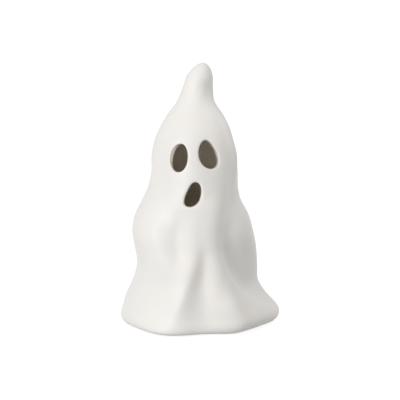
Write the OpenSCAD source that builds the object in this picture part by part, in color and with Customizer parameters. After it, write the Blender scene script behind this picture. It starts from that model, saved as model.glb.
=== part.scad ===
// Hollow ceramic ghost with cut-out eyes and mouth, lit by a battery light set in its floor.
// Millimetres, +Z up, face towards -Y, origin on the table under the middle of the figure.

/* [Ghost] */
// Height of the ceramic figure from its foot to its tip
body_h = 169; // [150:1:210]
// Width across the hem
skirt_w = 102; // [100:1:124]
// Wall of the slip-cast body
wall = 3.2; // [2.6:0.1:4]
// Rounding of the hem where it turns under to the foot
hem_r = 8; // [5:0.5:9]
// Height of the rounded tip
tip_h = 11; // [8:0.5:14]
// Thickness of the ceramic floor round the light
floor_t = 4; // [3:0.5:6]
// Fillet inside, where the wall meets the floor
floor_fillet = 4; // [2:0.5:6]
// Solid clay above the hollow, in the tip
tip_solid = 20; // [16:1:26]

/* [Face] */
// Width of the left eye, along the surface
left_eye_w = 10; // [9:0.1:11]
// Height of the left eye
left_eye_h = 17.4; // [15:0.2:20]
// Width of the right eye, along the surface
right_eye_w = 10.4; // [9:0.1:11.5]
// Height of the right eye
right_eye_h = 17.6; // [15:0.2:20]
// Width of the mouth, along the surface
mouth_w = 8.8; // [8:0.1:10]
// Height of the mouth
mouth_h = 16; // [14:0.2:18]

/* [Light unit] */
// Base plate left outside the corners of the battery door
plate_rim = 2.1; // [1.6:0.1:2.6]
// Space between the circuit board and the roof of the cup
board_space = 4; // [3.8:0.1:8]
// Wall of the cup and of its roof
cup_wall = 1.6; // [1.2:0.1:2]
// How far the flange stands out past the cup
flange_w = 4; // [3:0.1:4.5]
// Thickness of the flange
flange_t = 2; // [1.6:0.1:3]
// Thickness of the silicone bead between the flange and the ceramic floor
bead_t = 1; // [0.6:0.1:2]
// Thickness of the base plate
plate_t = 2.4; // [2.2:0.1:3]
// Outer radius of the frosted diffuser
diffuser_r = 8; // [7.5:0.1:10]
// Straight part of the diffuser, under its dome
diffuser_h = 5; // [3:0.5:10]

/* [Battery] */
// Diameter of a button cell
cell_d = 11.6; // [11:0.1:12]
// Height of a button cell
cell_h = 5.4; // [5:0.1:5.6]
// Length of the fitted battery spring
spring_l = 4.2; // [3.6:0.1:5]
// Thickness of the battery door
door_t = 1.6; // [1.4:0.1:1.7]

/* [Switch] */
// Travel of the slide switch from off to on
switch_travel = 2; // [1.5:0.1:2.4]
// Width of the switch case across the travel
switch_w = 4.4; // [4:0.1:5]
// Height of the switch case
switch_h = 4.7; // [4.4:0.1:5.5]

/* [Feet] */
// Thickness of a felt foot
felt_t = 1; // [0.8:0.1:2]
// Radius of a felt foot
felt_r = 3.8; // [3:0.1:4]

/* [Hidden] */

// Clearances and overruns
slip_fit = 0.3;      // between parts that drop into each other
close_fit = 0.1;     // between parts that locate each other
thread_gap = 0.05;   // between a screw and the bore that it is driven into
overrun = 1;         // how far a cut runs past the face that it opens
foot_gap = 1;        // from the foot up to the light unit's underside

// Levels of the figure: height share, then reach to the left, right, front and back as shares
// of the hem's half width
level_shares = [
    [0.000, 1.050, 1.100, 0.885, 0.895],
    [0.047, 0.985, 1.105, 0.860, 0.905],
    [0.101, 0.935, 0.960, 0.860, 0.885],
    [0.148, 0.865, 0.855, 0.860, 0.850],
    [0.195, 0.810, 0.815, 0.855, 0.800],
    [0.243, 0.790, 0.780, 0.855, 0.770],
    [0.296, 0.820, 0.740, 0.860, 0.765],
    [0.355, 0.850, 0.685, 0.865, 0.765],
    [0.414, 0.820, 0.625, 0.815, 0.730],
    [0.473, 0.725, 0.525, 0.710, 0.650],
    [0.521, 0.655, 0.490, 0.610, 0.580],
    [0.580, 0.610, 0.485, 0.530, 0.540],
    [0.651, 0.605, 0.460, 0.485, 0.520],
    [0.722, 0.545, 0.390, 0.455, 0.470],
    [0.787, 0.435, 0.325, 0.375, 0.375],
    [0.852, 0.290, 0.195, 0.260, 0.245],
    [0.908, 0.215, 0.175, 0.200, 0.185],
    [0.947, 0.175, 0.175, 0.185, 0.175],
    [1.000, 0.105, 0.185, 0.170, 0.165]
];

// Folds and bulges of the drape: angle at the foot, angle at the top, lower and upper end as
// shares of the height, height as a share of the hem's half width (less than zero is a valley),
// and half width in degrees. Zero degrees is the right-hand side, and -90 is the front.
fold_shares = [
    [-107, -84, -0.07, 0.535, 0.16, 13],    // broad ridge left of the middle
    [-114, -82, 0.005, 0.38, 0.085, 7],     // its crest
    [-95, -75, -0.19, 0.63, -0.115, 15],    // valley of the middle
    [-111, -83, 0.045, 0.345, -0.085, 8],   // its deep part
    [-66, -57, -0.145, 0.24, 0.11, 10],     // ridge right of the middle
    [-53, -69, -0.035, 0.30, -0.055, 13],   // dip of its crest
    [-66, -65, -0.055, 0.125, -0.065, 9],   // dip at the hem
    [-29, -36, -0.30, 0.13, -0.16, 24],     // hem drawn in, front right
    [4, -73, -0.06, 0.515, -0.37, 29],      // long hollow of the right-hand side
    [-25, -22, 0.095, 0.435, 0.075, 16],    // bulge within it
    [-27, -39, 0.23, 0.43, 0.04, 10],       // its crest
    [-49, -35, 0.325, 0.56, -0.07, 18],     // hollow over it
    [-96, -100, 0.055, 0.55, -0.18, 17],    // hollow under the mouth
    [-117, -121, 0.23, 0.545, -0.035, 8],   // its left end
    [-112, -107, 0.21, 0.52, -0.025, 7],
    [-130, -110, 0.145, 0.365, 0.03, 38],   // belly on the left
    [-113, -129, -0.36, 0.125, 0.31, 24],   // swell of the hem, front left
    [-48, -45, 0.50, 0.975, 0.07, 19],      // cheek on the right
    [-97, -101, 0.375, 0.86, 0.215, 25],    // face
    [-57, -74, 0.085, 0.945, 0.14, 24],     // long soft ridge up to the right eye
    [-28, -36, 0.48, 0.935, 0.08, 10],      // edge of the head on the right
    [-37, -47, 0.825, 0.96, -0.035, 22],    // notch under the tip
    [62, 74, -0.25, 0.50, 0.100, 13],       // folds of the back
    [88, 92, -0.20, 0.46, -0.070, 11],
    [116, 104, -0.28, 0.56, 0.090, 14],
    [145, 138, -0.15, 0.42, -0.060, 13],
    [35, 44, -0.18, 0.44, -0.060, 14],
    [100, 96, 0.30, 0.62, 0.030, 30]
];

// How the figure's skin is divided, and how many sides the round parts have
skin_columns = 72;
cavity_columns = 36;
hem_steps = 5;
body_steps = 30;
cavity_steps = 18;
tip_steps = 5;
skin_sides = 64;
round_sides = 32;

// Half of the hem's width, which the tables of shares follow
half_w = skirt_w/2;

// Levels of the figure and of the light unit's underside, from the table upwards
foot_z = felt_t;
unit_z = foot_z + foot_gap;
flange_top = unit_z + flange_t;
recess_z = flange_top + bead_t;
floor_z = recess_z + floor_t;
plate_top = unit_z + plate_t;
cavity_top = foot_z + body_h - tip_solid;
cavity_dome = 14;    // height of the domed end of the hollow

// Battery tub and door
tub_wall = 1.2;
contact_t = 0.4;
contact_w = 8;
cell_gap = 0.05;     // between cells, and between a cell and what it meets
cell_cap_h = 0.9;
cell_rim = 1.3;      // how far the cap stays inside the can
cell_cap_r = cell_d/2 - cell_rim;
tub_l = 2*(close_fit + contact_t) + 4*cell_gap + 3*cell_h + spring_l;
tub_w = cell_d + 2*slip_fit;
tub_offset = 0.4;    // from the figure's middle forwards to the inside of the tub
tub_y = -tub_offset - tub_w/2;
tub_front = tub_y - tub_w/2;
cell_z = unit_z + door_t + slip_fit + cell_d/2;
tub_top = cell_z + cell_d/2 + slip_fit + tub_wall;
contact_x = tub_l/2 - close_fit - contact_t/2;
cells_x = -contact_x + contact_t/2 + cell_gap;
door_boss_r = 2.4;
door_screw_x = tub_l/2 + tub_wall + door_boss_r;
door_w = tub_w + tub_wall;
door_l = 2*(door_screw_x + door_boss_r);
door_corner_r = 3;
door_reach = door_corner_r
    + norm([door_l/2 - door_corner_r, door_w/2 - tub_y - door_corner_r]);

// Levels over the battery: the circuit board, and the cup's roof over it
board_gap = 1.2;     // from the tub up to the board
board_t = 1.2;
board_z = tub_top + board_gap;
board_top = board_z + board_t;
roof_z = board_top + board_space;
cup_top = roof_z + cup_wall;

// Radii about the middle of the figure
plate_r = door_reach + slip_fit + plate_rim;
cup_inner_r = plate_r + slip_fit;
cup_r = cup_inner_r + cup_wall;
flange_r = cup_r + flange_w;
recess_r = flange_r + 2*slip_fit;
bore_r = cup_r + 2*slip_fit;
bead_margin = 0.5;   // how far the silicone stays back from the flange's edge and the bore
felt_margin = 1.5;   // clay between the recess and a felt foot
felt_place = recess_r + felt_margin + felt_r;
felt_turns = [42, 138, 222, 300];

// Screws
screw_r = 1;         // plate and door screws
screw_head_r = 1.9;
screw_head_h = 1;
screw_grip = 4.5;    // depth of a screw's bore past the sheet that it holds
screw_end_gap = 0.5; // bore left past a screw's end
small_screw_r = 0.75;
small_head_r = 1.5;
small_head_h = 0.9;
board_screw_grip = 4;
switch_screw_grip = 1.4;
cross_l = 2.2;
cross_w = 0.5;
cross_depth = 0.5;
cup_boss_r = 2.6;
plate_screw_turns = [30, 150, 270];
boss_margin = 1.6;   // from a boss out to the edge of the plate
plate_screw_place = plate_r - cup_boss_r - boss_margin;
door_boss_top = unit_z + door_t + screw_grip + tub_wall;

// Battery spring
spring_wire_r = 0.3;
spring_r = 4;
spring_taper_share = 0.35;
spring_turns = 3.5;
spring_steps = 16;
spring_sides = 6;

// Circuit board and what it carries
tab_gap = 0.8;       // from the board's ends to the battery contacts' tabs
tab_w = 2.5;
board_l = 2*(contact_x - contact_t/2 - tab_gap);
board_post_r = 2.2;
board_post_gap = 1.6;    // from the tub to a post
board_post_x = 7;
board_post_y = tub_y + tub_w/2 + tub_wall + board_post_gap + board_post_r;
board_edge = 0.6;    // how far the board reaches past its posts
board_back = board_post_y + board_post_r + board_edge;
board_rest_w = 1.8;
led_r = 2.5;
led_rim_r = 2.9;
led_rim_h = 1;
led_h = 8.6;
led_pitch = 2.54;
led_gap = 0.5;       // from the board up to the light-emitting diode
led_z = board_top + led_gap;
led_hole_r = led_r + slip_fit;
lead_r = 0.25;
lead_end = 0.8;      // how far a lead shows under the board
chip_l = 4.9;
chip_w = 3.9;
chip_h = 1.6;
chip_x = -5;
chip_margin = 5.1;   // from the board's front edge to the middle of the chip
chip_y = tub_front + chip_margin;
chip_legs = 4;
leg_l = 1;
leg_w = 0.4;
leg_t = 0.2;
resistor_l = 6;
resistor_r = 1.1;
resistor_pitch = 8.5;
resistor_x = 4;
resistor_margin = 3.1;
resistor_y = tub_front + resistor_margin;

// Diffuser over the light
diffuser_t = 1;
diffuser_rim = 1.5;

// Slide switch
switch_l = 8.6;
switch_gap = 4.4;    // from the board's back edge to the switch
switch_y = board_back + switch_gap + switch_w/2;
switch_top = plate_top + switch_h;
case_t = 0.4;
ear_r = 1.6;
ear_x = switch_l/2 + ear_r + close_fit;
slider_x = switch_travel/2;
knob_l = 2.4;
knob_w = 2;
knob_ridge = 0.1;
knob_z = foot_z + 0.3*foot_gap;
slot_l = knob_l + switch_travel + 2*slip_fit;
slot_w = knob_w + 2*close_fit;
flag_l = 5;
flag_w = switch_w - 2*case_t - 2*close_fit;
flag_z = plate_top + case_t + close_fit;
wafer_t = 1;
wiper_t = 0.3;
wiper_w = 1.6;
bump_r = 0.3;
pin_l = 0.9;
pin_t = 0.4;
pin_low = 0.35;      // how far a terminal reaches under the wafer
pin_high = 2.5;      // how far it stands over the wafer
wiper_top = switch_top - wafer_t - pin_low - close_fit;
flag_top = wiper_top - wiper_t - bump_r;
pin_top = switch_top + pin_high;

// Wires: each runs from one solder point to another through bends that are chosen by hand, as
// offsets from the end that they are nearer to
wire_r = 0.5;
wire_sides = 8;
wire_steps = 4;
solder_gap = 0.05;
pad_margin = 1.5;    // from the board's end to the middle of a solder pad
tab_face = contact_x + contact_t/2 + solder_gap;
tab_solder_z = board_top - 2*wire_r;
board_solder_z = board_top + solder_gap;
pin_solder_z = pin_top + solder_gap;
red_tab = [-tab_face, tub_y, tab_solder_z];
black_tab = [tab_face, tub_y, tab_solder_z];
red_pin = [-switch_travel, switch_y, pin_solder_z];
white_pin = [0, switch_y, pin_solder_z];
white_pad = [2*pad_margin, board_post_y + pad_margin, board_solder_z];
black_pad = [board_l/2 - pad_margin, tub_y + board_post_r + pad_margin, board_solder_z];
red_tab_bends = [[-1.6, 0.2, 0.2], [-2.5, 3, -1]];
red_pin_bends = [[-10.4, -10, 3], [-6, -4, 1.8], [-1.6, -0.6, 1.8]];
white_pin_bends = [[0, -0.6, 2], [1.6, -3.6, 5.2]];
white_pad_bends = [[0, 3.2, 0], [0, 1.4, 1.8]];
black_tab_bends = [[1.5, 0.3, 1], [0, 1.9, 2.8]];
black_pad_bends = [[0.4, -0.4, 1.8]];
function from_point(p, bends) = [for (b = bends) p + b];
red_route = concat([red_tab], from_point(red_tab, red_tab_bends),
    from_point(red_pin, red_pin_bends), [red_pin]);
white_route = concat([white_pin], from_point(white_pin, white_pin_bends),
    from_point(white_pad, white_pad_bends), [white_pad]);
black_route = concat([black_tab], from_point(black_tab, black_tab_bends),
    from_point(black_pad, black_pad_bends), [black_pad]);

// The sum of a list
function total(list, i = 0) = i >= len(list) ? 0 : list[i] + total(list, i + 1);

// Row of the level table at or below a height share
function row_at(s, i = 0) =
    (i >= len(level_shares) - 2 || s < level_shares[i + 1][0]) ? i : row_at(s, i + 1);

// Rate of change of one column at a row, from its neighbours
function rate(i, col) =
    let (last = len(level_shares) - 1, a = max(i - 1, 0), b = min(i + 1, last))
    (level_shares[b][col] - level_shares[a][col])/(level_shares[b][0] - level_shares[a][0]);

// One column of the level table at a height share, on a smooth curve through its rows
function reach(s, col) =
    let (
        i = row_at(s),
        p = level_shares[i],
        q = level_shares[i + 1],
        step = q[0] - p[0],
        t = (s - p[0])/step
    )
    p[col]*(1 + 2*t)*(1 - t)*(1 - t) + rate(i, col)*step*t*(1 - t)*(1 - t)
    + q[col]*t*t*(3 - 2*t) + rate(i + 1, col)*step*t*t*(t - 1);

// Middle and half size of the figure's section at a height over the foot: [x, half x, y, half y]
function section(h) =
    let (
        s = h/body_h,
        left = reach(s, 1),
        right = reach(s, 2),
        front = reach(s, 3),
        back = reach(s, 4)
    )
    half_w*[(right - left)/2, (right + left)/2, (back - front)/2, (back + front)/2];

// An angle brought to between -180 and 180 degrees
function wrapped(a) = a - 360*floor((a + 180)/360);

// How far one fold lifts the skin at an angle and a height share
function fold_lift(f, angle, s) =
    (s <= f[2] || s >= f[3]) ? 0 :
    let (
        foot = max(f[2], 0),
        along = (max(s, foot) - foot)/(f[3] - foot),
        off = wrapped(angle - f[0] - (f[1] - f[0])*along)/f[5]
    )
    f[4]*pow(sin(180*(s - f[2])/(f[3] - f[2])), 2)*exp(-off*off);

function drape(angle, h) = half_w*total([for (f = fold_shares) fold_lift(f, angle, h/body_h)]);

// How far the hem is drawn in at a height over the foot, as a quarter circle
function hem_tuck(h) = h >= hem_r ? 0 : hem_r - sqrt(hem_r*hem_r - pow(hem_r - h, 2));

// Share of the radius that is left under a dome of height d that ends at height top
function dome(h, top, d) = h <= top - d ? 1 : sqrt(max(0, 1 - pow((h - top + d)/d, 2)));

// A point of the figure's skin. inset draws it in towards the middle of its section.
function skin_point(angle, h, sec, inset, shrink) =
    let (
        flat = [sec[1]*cos(angle), sec[3]*sin(angle)],
        r = norm(flat),
        k = shrink*(r + drape(angle, h) - inset)/r
    )
    [sec[0] + k*flat[0], sec[2] + k*flat[1], foot_z + h];

// Heights of the skin's rings: round the hem, up the body, and round the tip
function skin_heights() = concat(
    [for (i = [0 : hem_steps - 1]) hem_r*(1 - cos(90*i/hem_steps))],
    [for (i = [0 : body_steps - 1]) hem_r + (body_h - hem_r - tip_h)*i/body_steps],
    [for (i = [0 : tip_steps]) body_h - tip_h + tip_h*sin(90*i/(tip_steps + 1))]
);

function skin_ring(h) =
    let (sec = section(h))
    [for (i = [0 : skin_columns - 1])
        skin_point(360*i/skin_columns, h, sec, hem_tuck(h), dome(h, body_h, tip_h))];

// Slope of the figure's side at a height, for a wall that is even when measured square to it
function side_slope(h) =
    let (d = body_h/100) (section(h + d)[1] - section(h - d)[1])/(2*d);

function cavity_heights() =
    let (low = floor_z - foot_z, high = cavity_top - foot_z, knee = high - cavity_dome)
    concat(
        [for (i = [0 : hem_steps - 1]) low + floor_fillet*(1 - cos(90*i/hem_steps))],
        [for (i = [0 : cavity_steps - 1])
            low + floor_fillet + (knee - low - floor_fillet)*i/cavity_steps],
        [for (i = [0 : tip_steps]) knee + cavity_dome*sin(90*i/(tip_steps + 1))]
    );

function cavity_ring(h) =
    let (
        sec = section(h),
        up = h - floor_z + foot_z,
        tuck = up >= floor_fillet ? 0 :
            floor_fillet - sqrt(floor_fillet*floor_fillet - pow(floor_fillet - up, 2)),
        inset = wall*sqrt(1 + pow(side_slope(h), 2)) + tuck
    )
    [for (i = [0 : cavity_columns - 1])
        skin_point(360*i/cavity_columns, h, sec, inset, dome(h, cavity_top - foot_z, cavity_dome))];

// A closed solid through rings of points that lie over each other, with a point at its top
module lofted(rings, top) {
    n = len(rings[0]);
    m = len(rings);
    points = concat([for (ring = rings) each ring], [top]);
    floor_face = [[for (i = [0 : n - 1]) i]];
    sides = [for (j = [0 : m - 2], i = [0 : n - 1], k = [0, 1])
        let (a = j*n + i, b = j*n + (i + 1)%n)
        k == 0 ? [a, a + n, b] : [b, a + n, b + n]];
    crown = [for (i = [0 : n - 1]) [(m - 1)*n + i, m*n, (m - 1)*n + (i + 1)%n]];
    polyhedron(points, concat(floor_face, sides, crown), convexity = 6);
}

// Openings of the face: turn from the front in degrees, then the shares that place and shape
// each one: height of its middle, how much wider it is at its foot, its lean to the right, and
// how far its middle bends to the right
opening_pitch = 12;            // how far each opening's sides slope upwards to the front
opening_steps = 28;
cutter_shares = [0.6, 1.15];   // the cutter's ends, as shares of the way out to the skin
left_eye_turn = -16.2;
left_eye_shares = [0.671, 0, 0.07, 0];
right_eye_turn = 17;
right_eye_shares = [0.6815, 0.08, -0.08, -0.02];
mouth_turn = -1;
mouth_shares = [0.539, 0.24, 0.12, 0.05];

// An opening's edge as angle and height, on a section whose front has the radius r
function opening_edge(w, h, turn, shares, r) = [for (i = [0 : opening_steps - 1])
    let (
        p = 360*i/opening_steps,
        across = w/2*cos(p)*(1 - shares[1]*sin(p)) + shares[2]*h/2*sin(p)
            + shares[3]*w*pow(cos(p), 2)
    )
    [-90 + turn + across/r*180/PI, h/2*sin(p)]];

// The tool that cuts an opening: its sides run from the skin towards the middle of the section
module opening_cutter(width, height, turn, shares) {
    h = shares[0]*body_h;
    mid = section(h);
    edge = [for (e = opening_edge(width, height, turn, shares, mid[1]))
        skin_point(e[0], h + e[1], section(h + e[1]), 0, 1)];
    rings = [for (k = cutter_shares) [for (p = edge) [
        mid[0] + k*(p[0] - mid[0]),
        mid[2] + k*(p[1] - mid[2]),
        p[2] + (k - 1)*mid[3]*tan(opening_pitch)
    ]]];
    n = opening_steps;
    points = concat(rings[0], rings[1]);
    ends = [[for (i = [0 : n - 1]) i], [for (i = [0 : n - 1]) 2*n - 1 - i]];
    sides = [for (i = [0 : n - 1], k = [0, 1])
        let (b = (i + 1)%n)
        k == 0 ? [i, i + n, b] : [b, i + n, b + n]];
    polyhedron(points, concat(ends, sides), convexity = 4);
}

module ceramic_body() {
    skin = [for (h = skin_heights()) skin_ring(h)];
    hollow = [for (h = cavity_heights()) cavity_ring(h)];
    tip = section(body_h);
    peak = section(cavity_top - foot_z);
    color("ivory") difference() {
        lofted(skin, [tip[0], tip[2], foot_z + body_h]);
        lofted(hollow, [peak[0], peak[2], cavity_top]);
        opening_cutter(left_eye_w, left_eye_h, left_eye_turn, left_eye_shares);
        opening_cutter(right_eye_w, right_eye_h, right_eye_turn, right_eye_shares);
        opening_cutter(mouth_w, mouth_h, mouth_turn, mouth_shares);
        translate([0, 0, foot_z - overrun])
            cylinder(r = recess_r, h = recess_z - foot_z + overrun, $fn = skin_sides);
        translate([0, 0, recess_z - overrun])
            cylinder(r = bore_r, h = floor_t + 2*overrun, $fn = skin_sides);
    }
}

// A block centred on the origin in plan, between two heights
module block(l, w, low, high) {
    translate([-l/2, -w/2, low]) cube([l, w, high - low]);
}

// An upright round pillar between two heights
module pillar(r, low, high) {
    translate([0, 0, low]) cylinder(r = r, h = high - low, $fn = round_sides);
}

// A rectangle with round corners, centred on the origin
module rounded_plan(l, w, r) {
    square([l - 2*r, w], center = true);
    square([l, w - 2*r], center = true);
    for (x = [-1, 1], y = [-1, 1])
        translate([x*(l/2 - r), y*(w/2 - r)]) circle(r = r, $fn = round_sides);
}

// A countersunk screw that is driven upwards, with its head's face at that height
module countersunk_screw(face_z, length) {
    translate([0, 0, face_z]) difference() {
        union() {
            cylinder(r1 = screw_head_r, r2 = screw_r, h = screw_head_h, $fn = round_sides);
            cylinder(r = screw_r, h = length, $fn = round_sides);
        }
        for (turn = [0, 90]) rotate(turn)
            block(cross_l, cross_w, -overrun, cross_depth);
    }
}

// The cut that takes a countersunk screw: its cone and a hole for its shank
module countersink(face_z, length) {
    translate([0, 0, face_z]) {
        cylinder(r1 = screw_head_r + close_fit, r2 = screw_r + close_fit, h = screw_head_h,
            $fn = round_sides);
        translate([0, 0, -overrun])
            cylinder(r = screw_r + close_fit, h = length + overrun, $fn = round_sides);
    }
}

// A pan-head screw that is driven downwards, with the underside of its head at that height
module pan_screw(seat_z, length, r, head_r, head_h) {
    translate([0, 0, seat_z]) difference() {
        union() {
            pillar(r, -length, 0);
            pillar(head_r, 0, head_h);
        }
        for (turn = [0, 90]) rotate(turn)
            block(head_r, cross_w, head_h - cross_depth, head_h + overrun);
    }
}

// Places of the three screws that hold the base plate
module at_plate_screws() {
    for (turn = plate_screw_turns) rotate(turn) translate([plate_screw_place, 0, 0]) children();
}

module felt_foot(i) {
    color("gainsboro") rotate(felt_turns[i]) translate([felt_place, 0, 0]) pillar(felt_r, 0, felt_t);
}

module silicone_bead() {
    color("whitesmoke") translate([0, 0, flange_top]) difference() {
        cylinder(r = flange_r - bead_margin, h = bead_t, $fn = skin_sides);
        translate([0, 0, -overrun])
            cylinder(r = bore_r + bead_margin, h = bead_t + 2*overrun, $fn = skin_sides);
    }
}

module light_cup() {
    color("white") difference() {
        union() {
            rotate_extrude($fn = skin_sides) polygon([
                [cup_inner_r, unit_z], [flange_r, unit_z], [flange_r, flange_top],
                [cup_r, flange_top], [cup_r, cup_top], [led_hole_r, cup_top],
                [led_hole_r, roof_z], [cup_inner_r, roof_z]
            ]);
            at_plate_screws() pillar(cup_boss_r, plate_top, roof_z + cup_wall/2);
        }
        at_plate_screws() pillar(screw_r + thread_gap, plate_top - overrun, plate_top + screw_grip);
    }
}

module base_plate() {
    color("white") difference() {
        union() {
            pillar(plate_r, unit_z, plate_top);
            translate([0, tub_y, 0])
                block(tub_l + 2*tub_wall, tub_w + 2*tub_wall, unit_z + plate_t/2, tub_top);
            for (x = [-1, 1]) {
                translate([x*door_screw_x, tub_y, 0]) pillar(door_boss_r, unit_z, door_boss_top);
                translate([x*board_post_x, board_post_y, 0]) pillar(board_post_r, unit_z, board_z);
                translate([x*board_post_x, tub_y - tub_w/4, 0])
                    block(board_rest_w, board_rest_w, tub_top - tub_wall/2, board_z);
            }
        }
        translate([0, tub_y, 0]) {
            block(tub_l, tub_w, unit_z - overrun, tub_top - tub_wall);
            translate([0, 0, unit_z - overrun]) linear_extrude(door_t + overrun)
                rounded_plan(door_l + 2*slip_fit, door_w + 2*slip_fit, door_corner_r + slip_fit);
            for (x = [-1, 1]) {
                translate([x*door_screw_x, 0, 0])
                    pillar(screw_r + thread_gap, unit_z, unit_z + door_t + screw_grip);
                translate([x*contact_x, 0, 0])
                    block(contact_t + 2*close_fit, tab_w + 2*close_fit, tub_top - 2*tub_wall,
                        tub_top + overrun);
            }
        }
        at_plate_screws() countersink(unit_z, plate_t + overrun);
        translate([0, switch_y, 0]) {
            block(slot_l, slot_w, unit_z - overrun, plate_top + overrun);
            for (x = [-1, 1]) translate([x*ear_x, 0, 0])
                pillar(small_screw_r + thread_gap, plate_top - switch_screw_grip - close_fit,
                    plate_top + overrun);
        }
        for (x = [-1, 1]) translate([x*board_post_x, board_post_y, 0])
            pillar(small_screw_r + thread_gap, board_z - board_screw_grip - close_fit,
                board_z + overrun);
    }
}

module plate_screws() {
    color("silver") at_plate_screws() countersunk_screw(unit_z, plate_t + screw_grip - screw_end_gap);
}

module battery_door() {
    color("white") translate([0, tub_y, 0]) difference() {
        translate([0, 0, unit_z]) linear_extrude(door_t)
            rounded_plan(door_l, door_w, door_corner_r);
        for (x = [-1, 1]) translate([x*door_screw_x, 0, 0]) countersink(unit_z, door_t + overrun);
    }
}

module door_screw(side) {
    color("silver") translate([side*door_screw_x, tub_y, 0])
        countersunk_screw(unit_z, door_t + screw_grip - screw_end_gap);
}

// A button cell on its side: its can, and the smaller cap of its negative end
module button_cell(i) {
    color("lightgray") translate([cells_x + i*(cell_h + cell_gap), tub_y, cell_z]) rotate([0, 90, 0]) {
        cylinder(r = cell_d/2, h = cell_h - cell_cap_h, $fn = round_sides);
        cylinder(r = cell_cap_r, h = cell_h, $fn = round_sides);
    }
}

// A battery contact: a plate at one end of the tub, with a tab that goes up through its roof
module contact_plate(side) {
    translate([side*contact_x, tub_y, 0]) {
        block(contact_t, contact_w, cell_z - contact_w/2, cell_z + contact_w/2);
        block(contact_t, tab_w, cell_z, board_top);
    }
}

module positive_contact() {
    color("gold") contact_plate(-1);
}

module negative_contact() {
    color("gold") contact_plate(1);
}

// A unit vector, and the ring of a tube about a point of its path
function unit(v) = v/norm(v);
function tube_ring(p, along, side_of, r, sides) =
    let (u = unit(cross(along, side_of)), v = unit(cross(along, u)))
    [for (k = [0 : sides - 1]) p + r*(u*cos(360*k/sides) + v*sin(360*k/sides))];

// A round tube along a list of points, with the directions of its first and last ring
module tube(path, r, sides, side_of, start, end) {
    last = len(path) - 1;
    rings = [for (i = [0 : last])
        tube_ring(path[i], i == 0 ? start : i == last ? end : unit(path[i + 1] - path[i - 1]),
            side_of, r, sides)];
    points = [for (ring = rings) each ring];
    ends = [[for (k = [0 : sides - 1]) k], [for (k = [0 : sides - 1]) (last + 1)*sides - 1 - k]];
    walls = [for (i = [0 : last - 1], k = [0 : sides - 1], half = [0, 1])
        let (a = i*sides + k, b = i*sides + (k + 1)%sides)
        half == 0 ? [a, a + sides, b] : [b, a + sides, b + sides]];
    polyhedron(points, concat(ends, walls), convexity = 8);
}

// The battery spring: a helix that stands on the negative contact and narrows towards the cell
module negative_spring() {
    steps = spring_turns*spring_steps;
    run = spring_l - 2*spring_wire_r - 2*close_fit;
    color("silver") tube([for (i = [0 : steps])
        let (t = i/steps, r = spring_r*(1 - t*spring_taper_share), a = 360*spring_turns*t)
        [contact_x - contact_t/2 - spring_wire_r - close_fit - run*t, tub_y + r*cos(a), cell_z + r*sin(a)]
    ], spring_wire_r, spring_sides, [1, 0, 0], [0, 0, 1], [0, 0, 1]);
}

module circuit_board() {
    color("darkgreen") difference() {
        translate([0, (board_back + tub_front)/2, 0])
            block(board_l, board_back - tub_front, board_z, board_top);
        for (x = [-1, 1]) {
            translate([x*board_post_x, board_post_y, 0])
                pillar(small_screw_r + close_fit, board_z - overrun, board_top + overrun);
            translate([x*led_pitch/2, 0, 0])
                pillar(lead_r + close_fit, board_z - overrun, board_top + overrun);
            translate([resistor_x + x*resistor_pitch/2, resistor_y, 0])
                pillar(lead_r + close_fit, board_z - overrun, board_top + overrun);
        }
    }
}

module board_screws() {
    color("silver") for (x = [-1, 1]) translate([x*board_post_x, board_post_y, 0])
        pan_screw(board_top, board_t + board_screw_grip, small_screw_r, small_head_r, small_head_h);
}

module led_lens() {
    color("lightyellow") {
        pillar(led_rim_r, led_z, led_z + led_rim_h);
        pillar(led_r, led_z, led_z + led_h - led_r);
        translate([0, 0, led_z + led_h - led_r]) sphere(r = led_r, $fn = round_sides);
    }
}

module led_leads() {
    color("silver") for (x = [-1, 1]) translate([x*led_pitch/2, 0, 0])
        pillar(lead_r, board_z - lead_end, led_z);
}

// The flicker chip: a body with a row of bent legs on either side
module controller_chip() {
    leg_pitch = chip_l/chip_legs;
    color("dimgray") translate([chip_x, chip_y, board_top]) {
        block(chip_l, chip_w, leg_t, chip_h);
        for (i = [0 : chip_legs - 1], y = [-1, 1])
            translate([leg_pitch*(i - (chip_legs - 1)/2), y*(chip_w + leg_l)/2, 0]) {
                block(leg_w, leg_l, 0, leg_t);
                translate([0, -y*(leg_l - leg_t)/2, 0]) block(leg_w, leg_t, 0, chip_h/2);
            }
    }
}

module resistor() {
    color("tan") translate([resistor_x, resistor_y, board_top + resistor_r + close_fit]) {
        rotate([0, 90, 0])
            cylinder(r = resistor_r, h = resistor_l, center = true, $fn = round_sides);
        rotate([0, 90, 0])
            cylinder(r = lead_r, h = resistor_pitch, center = true, $fn = round_sides);
        for (x = [-1, 1]) translate([x*resistor_pitch/2, 0, 0]) {
            pillar(lead_r, -resistor_r - board_t - lead_end, 0);
            sphere(r = lead_r, $fn = round_sides);
        }
    }
}

module light_diffuser() {
    color("whitesmoke") translate([0, 0, cup_top]) difference() {
        union() {
            cylinder(r = diffuser_r + diffuser_rim, h = diffuser_t, $fn = skin_sides);
            cylinder(r = diffuser_r, h = diffuser_h, $fn = skin_sides);
            translate([0, 0, diffuser_h]) sphere(r = diffuser_r, $fn = skin_sides);
        }
        translate([0, 0, -diffuser_r - overrun])
            cylinder(r = diffuser_r + diffuser_rim + overrun, h = diffuser_r + overrun, $fn = skin_sides);
        translate([0, 0, -overrun])
            cylinder(r = diffuser_r - diffuser_t, h = diffuser_h + overrun, $fn = skin_sides);
        translate([0, 0, diffuser_h]) sphere(r = diffuser_r - diffuser_t, $fn = skin_sides);
    }
}

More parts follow.
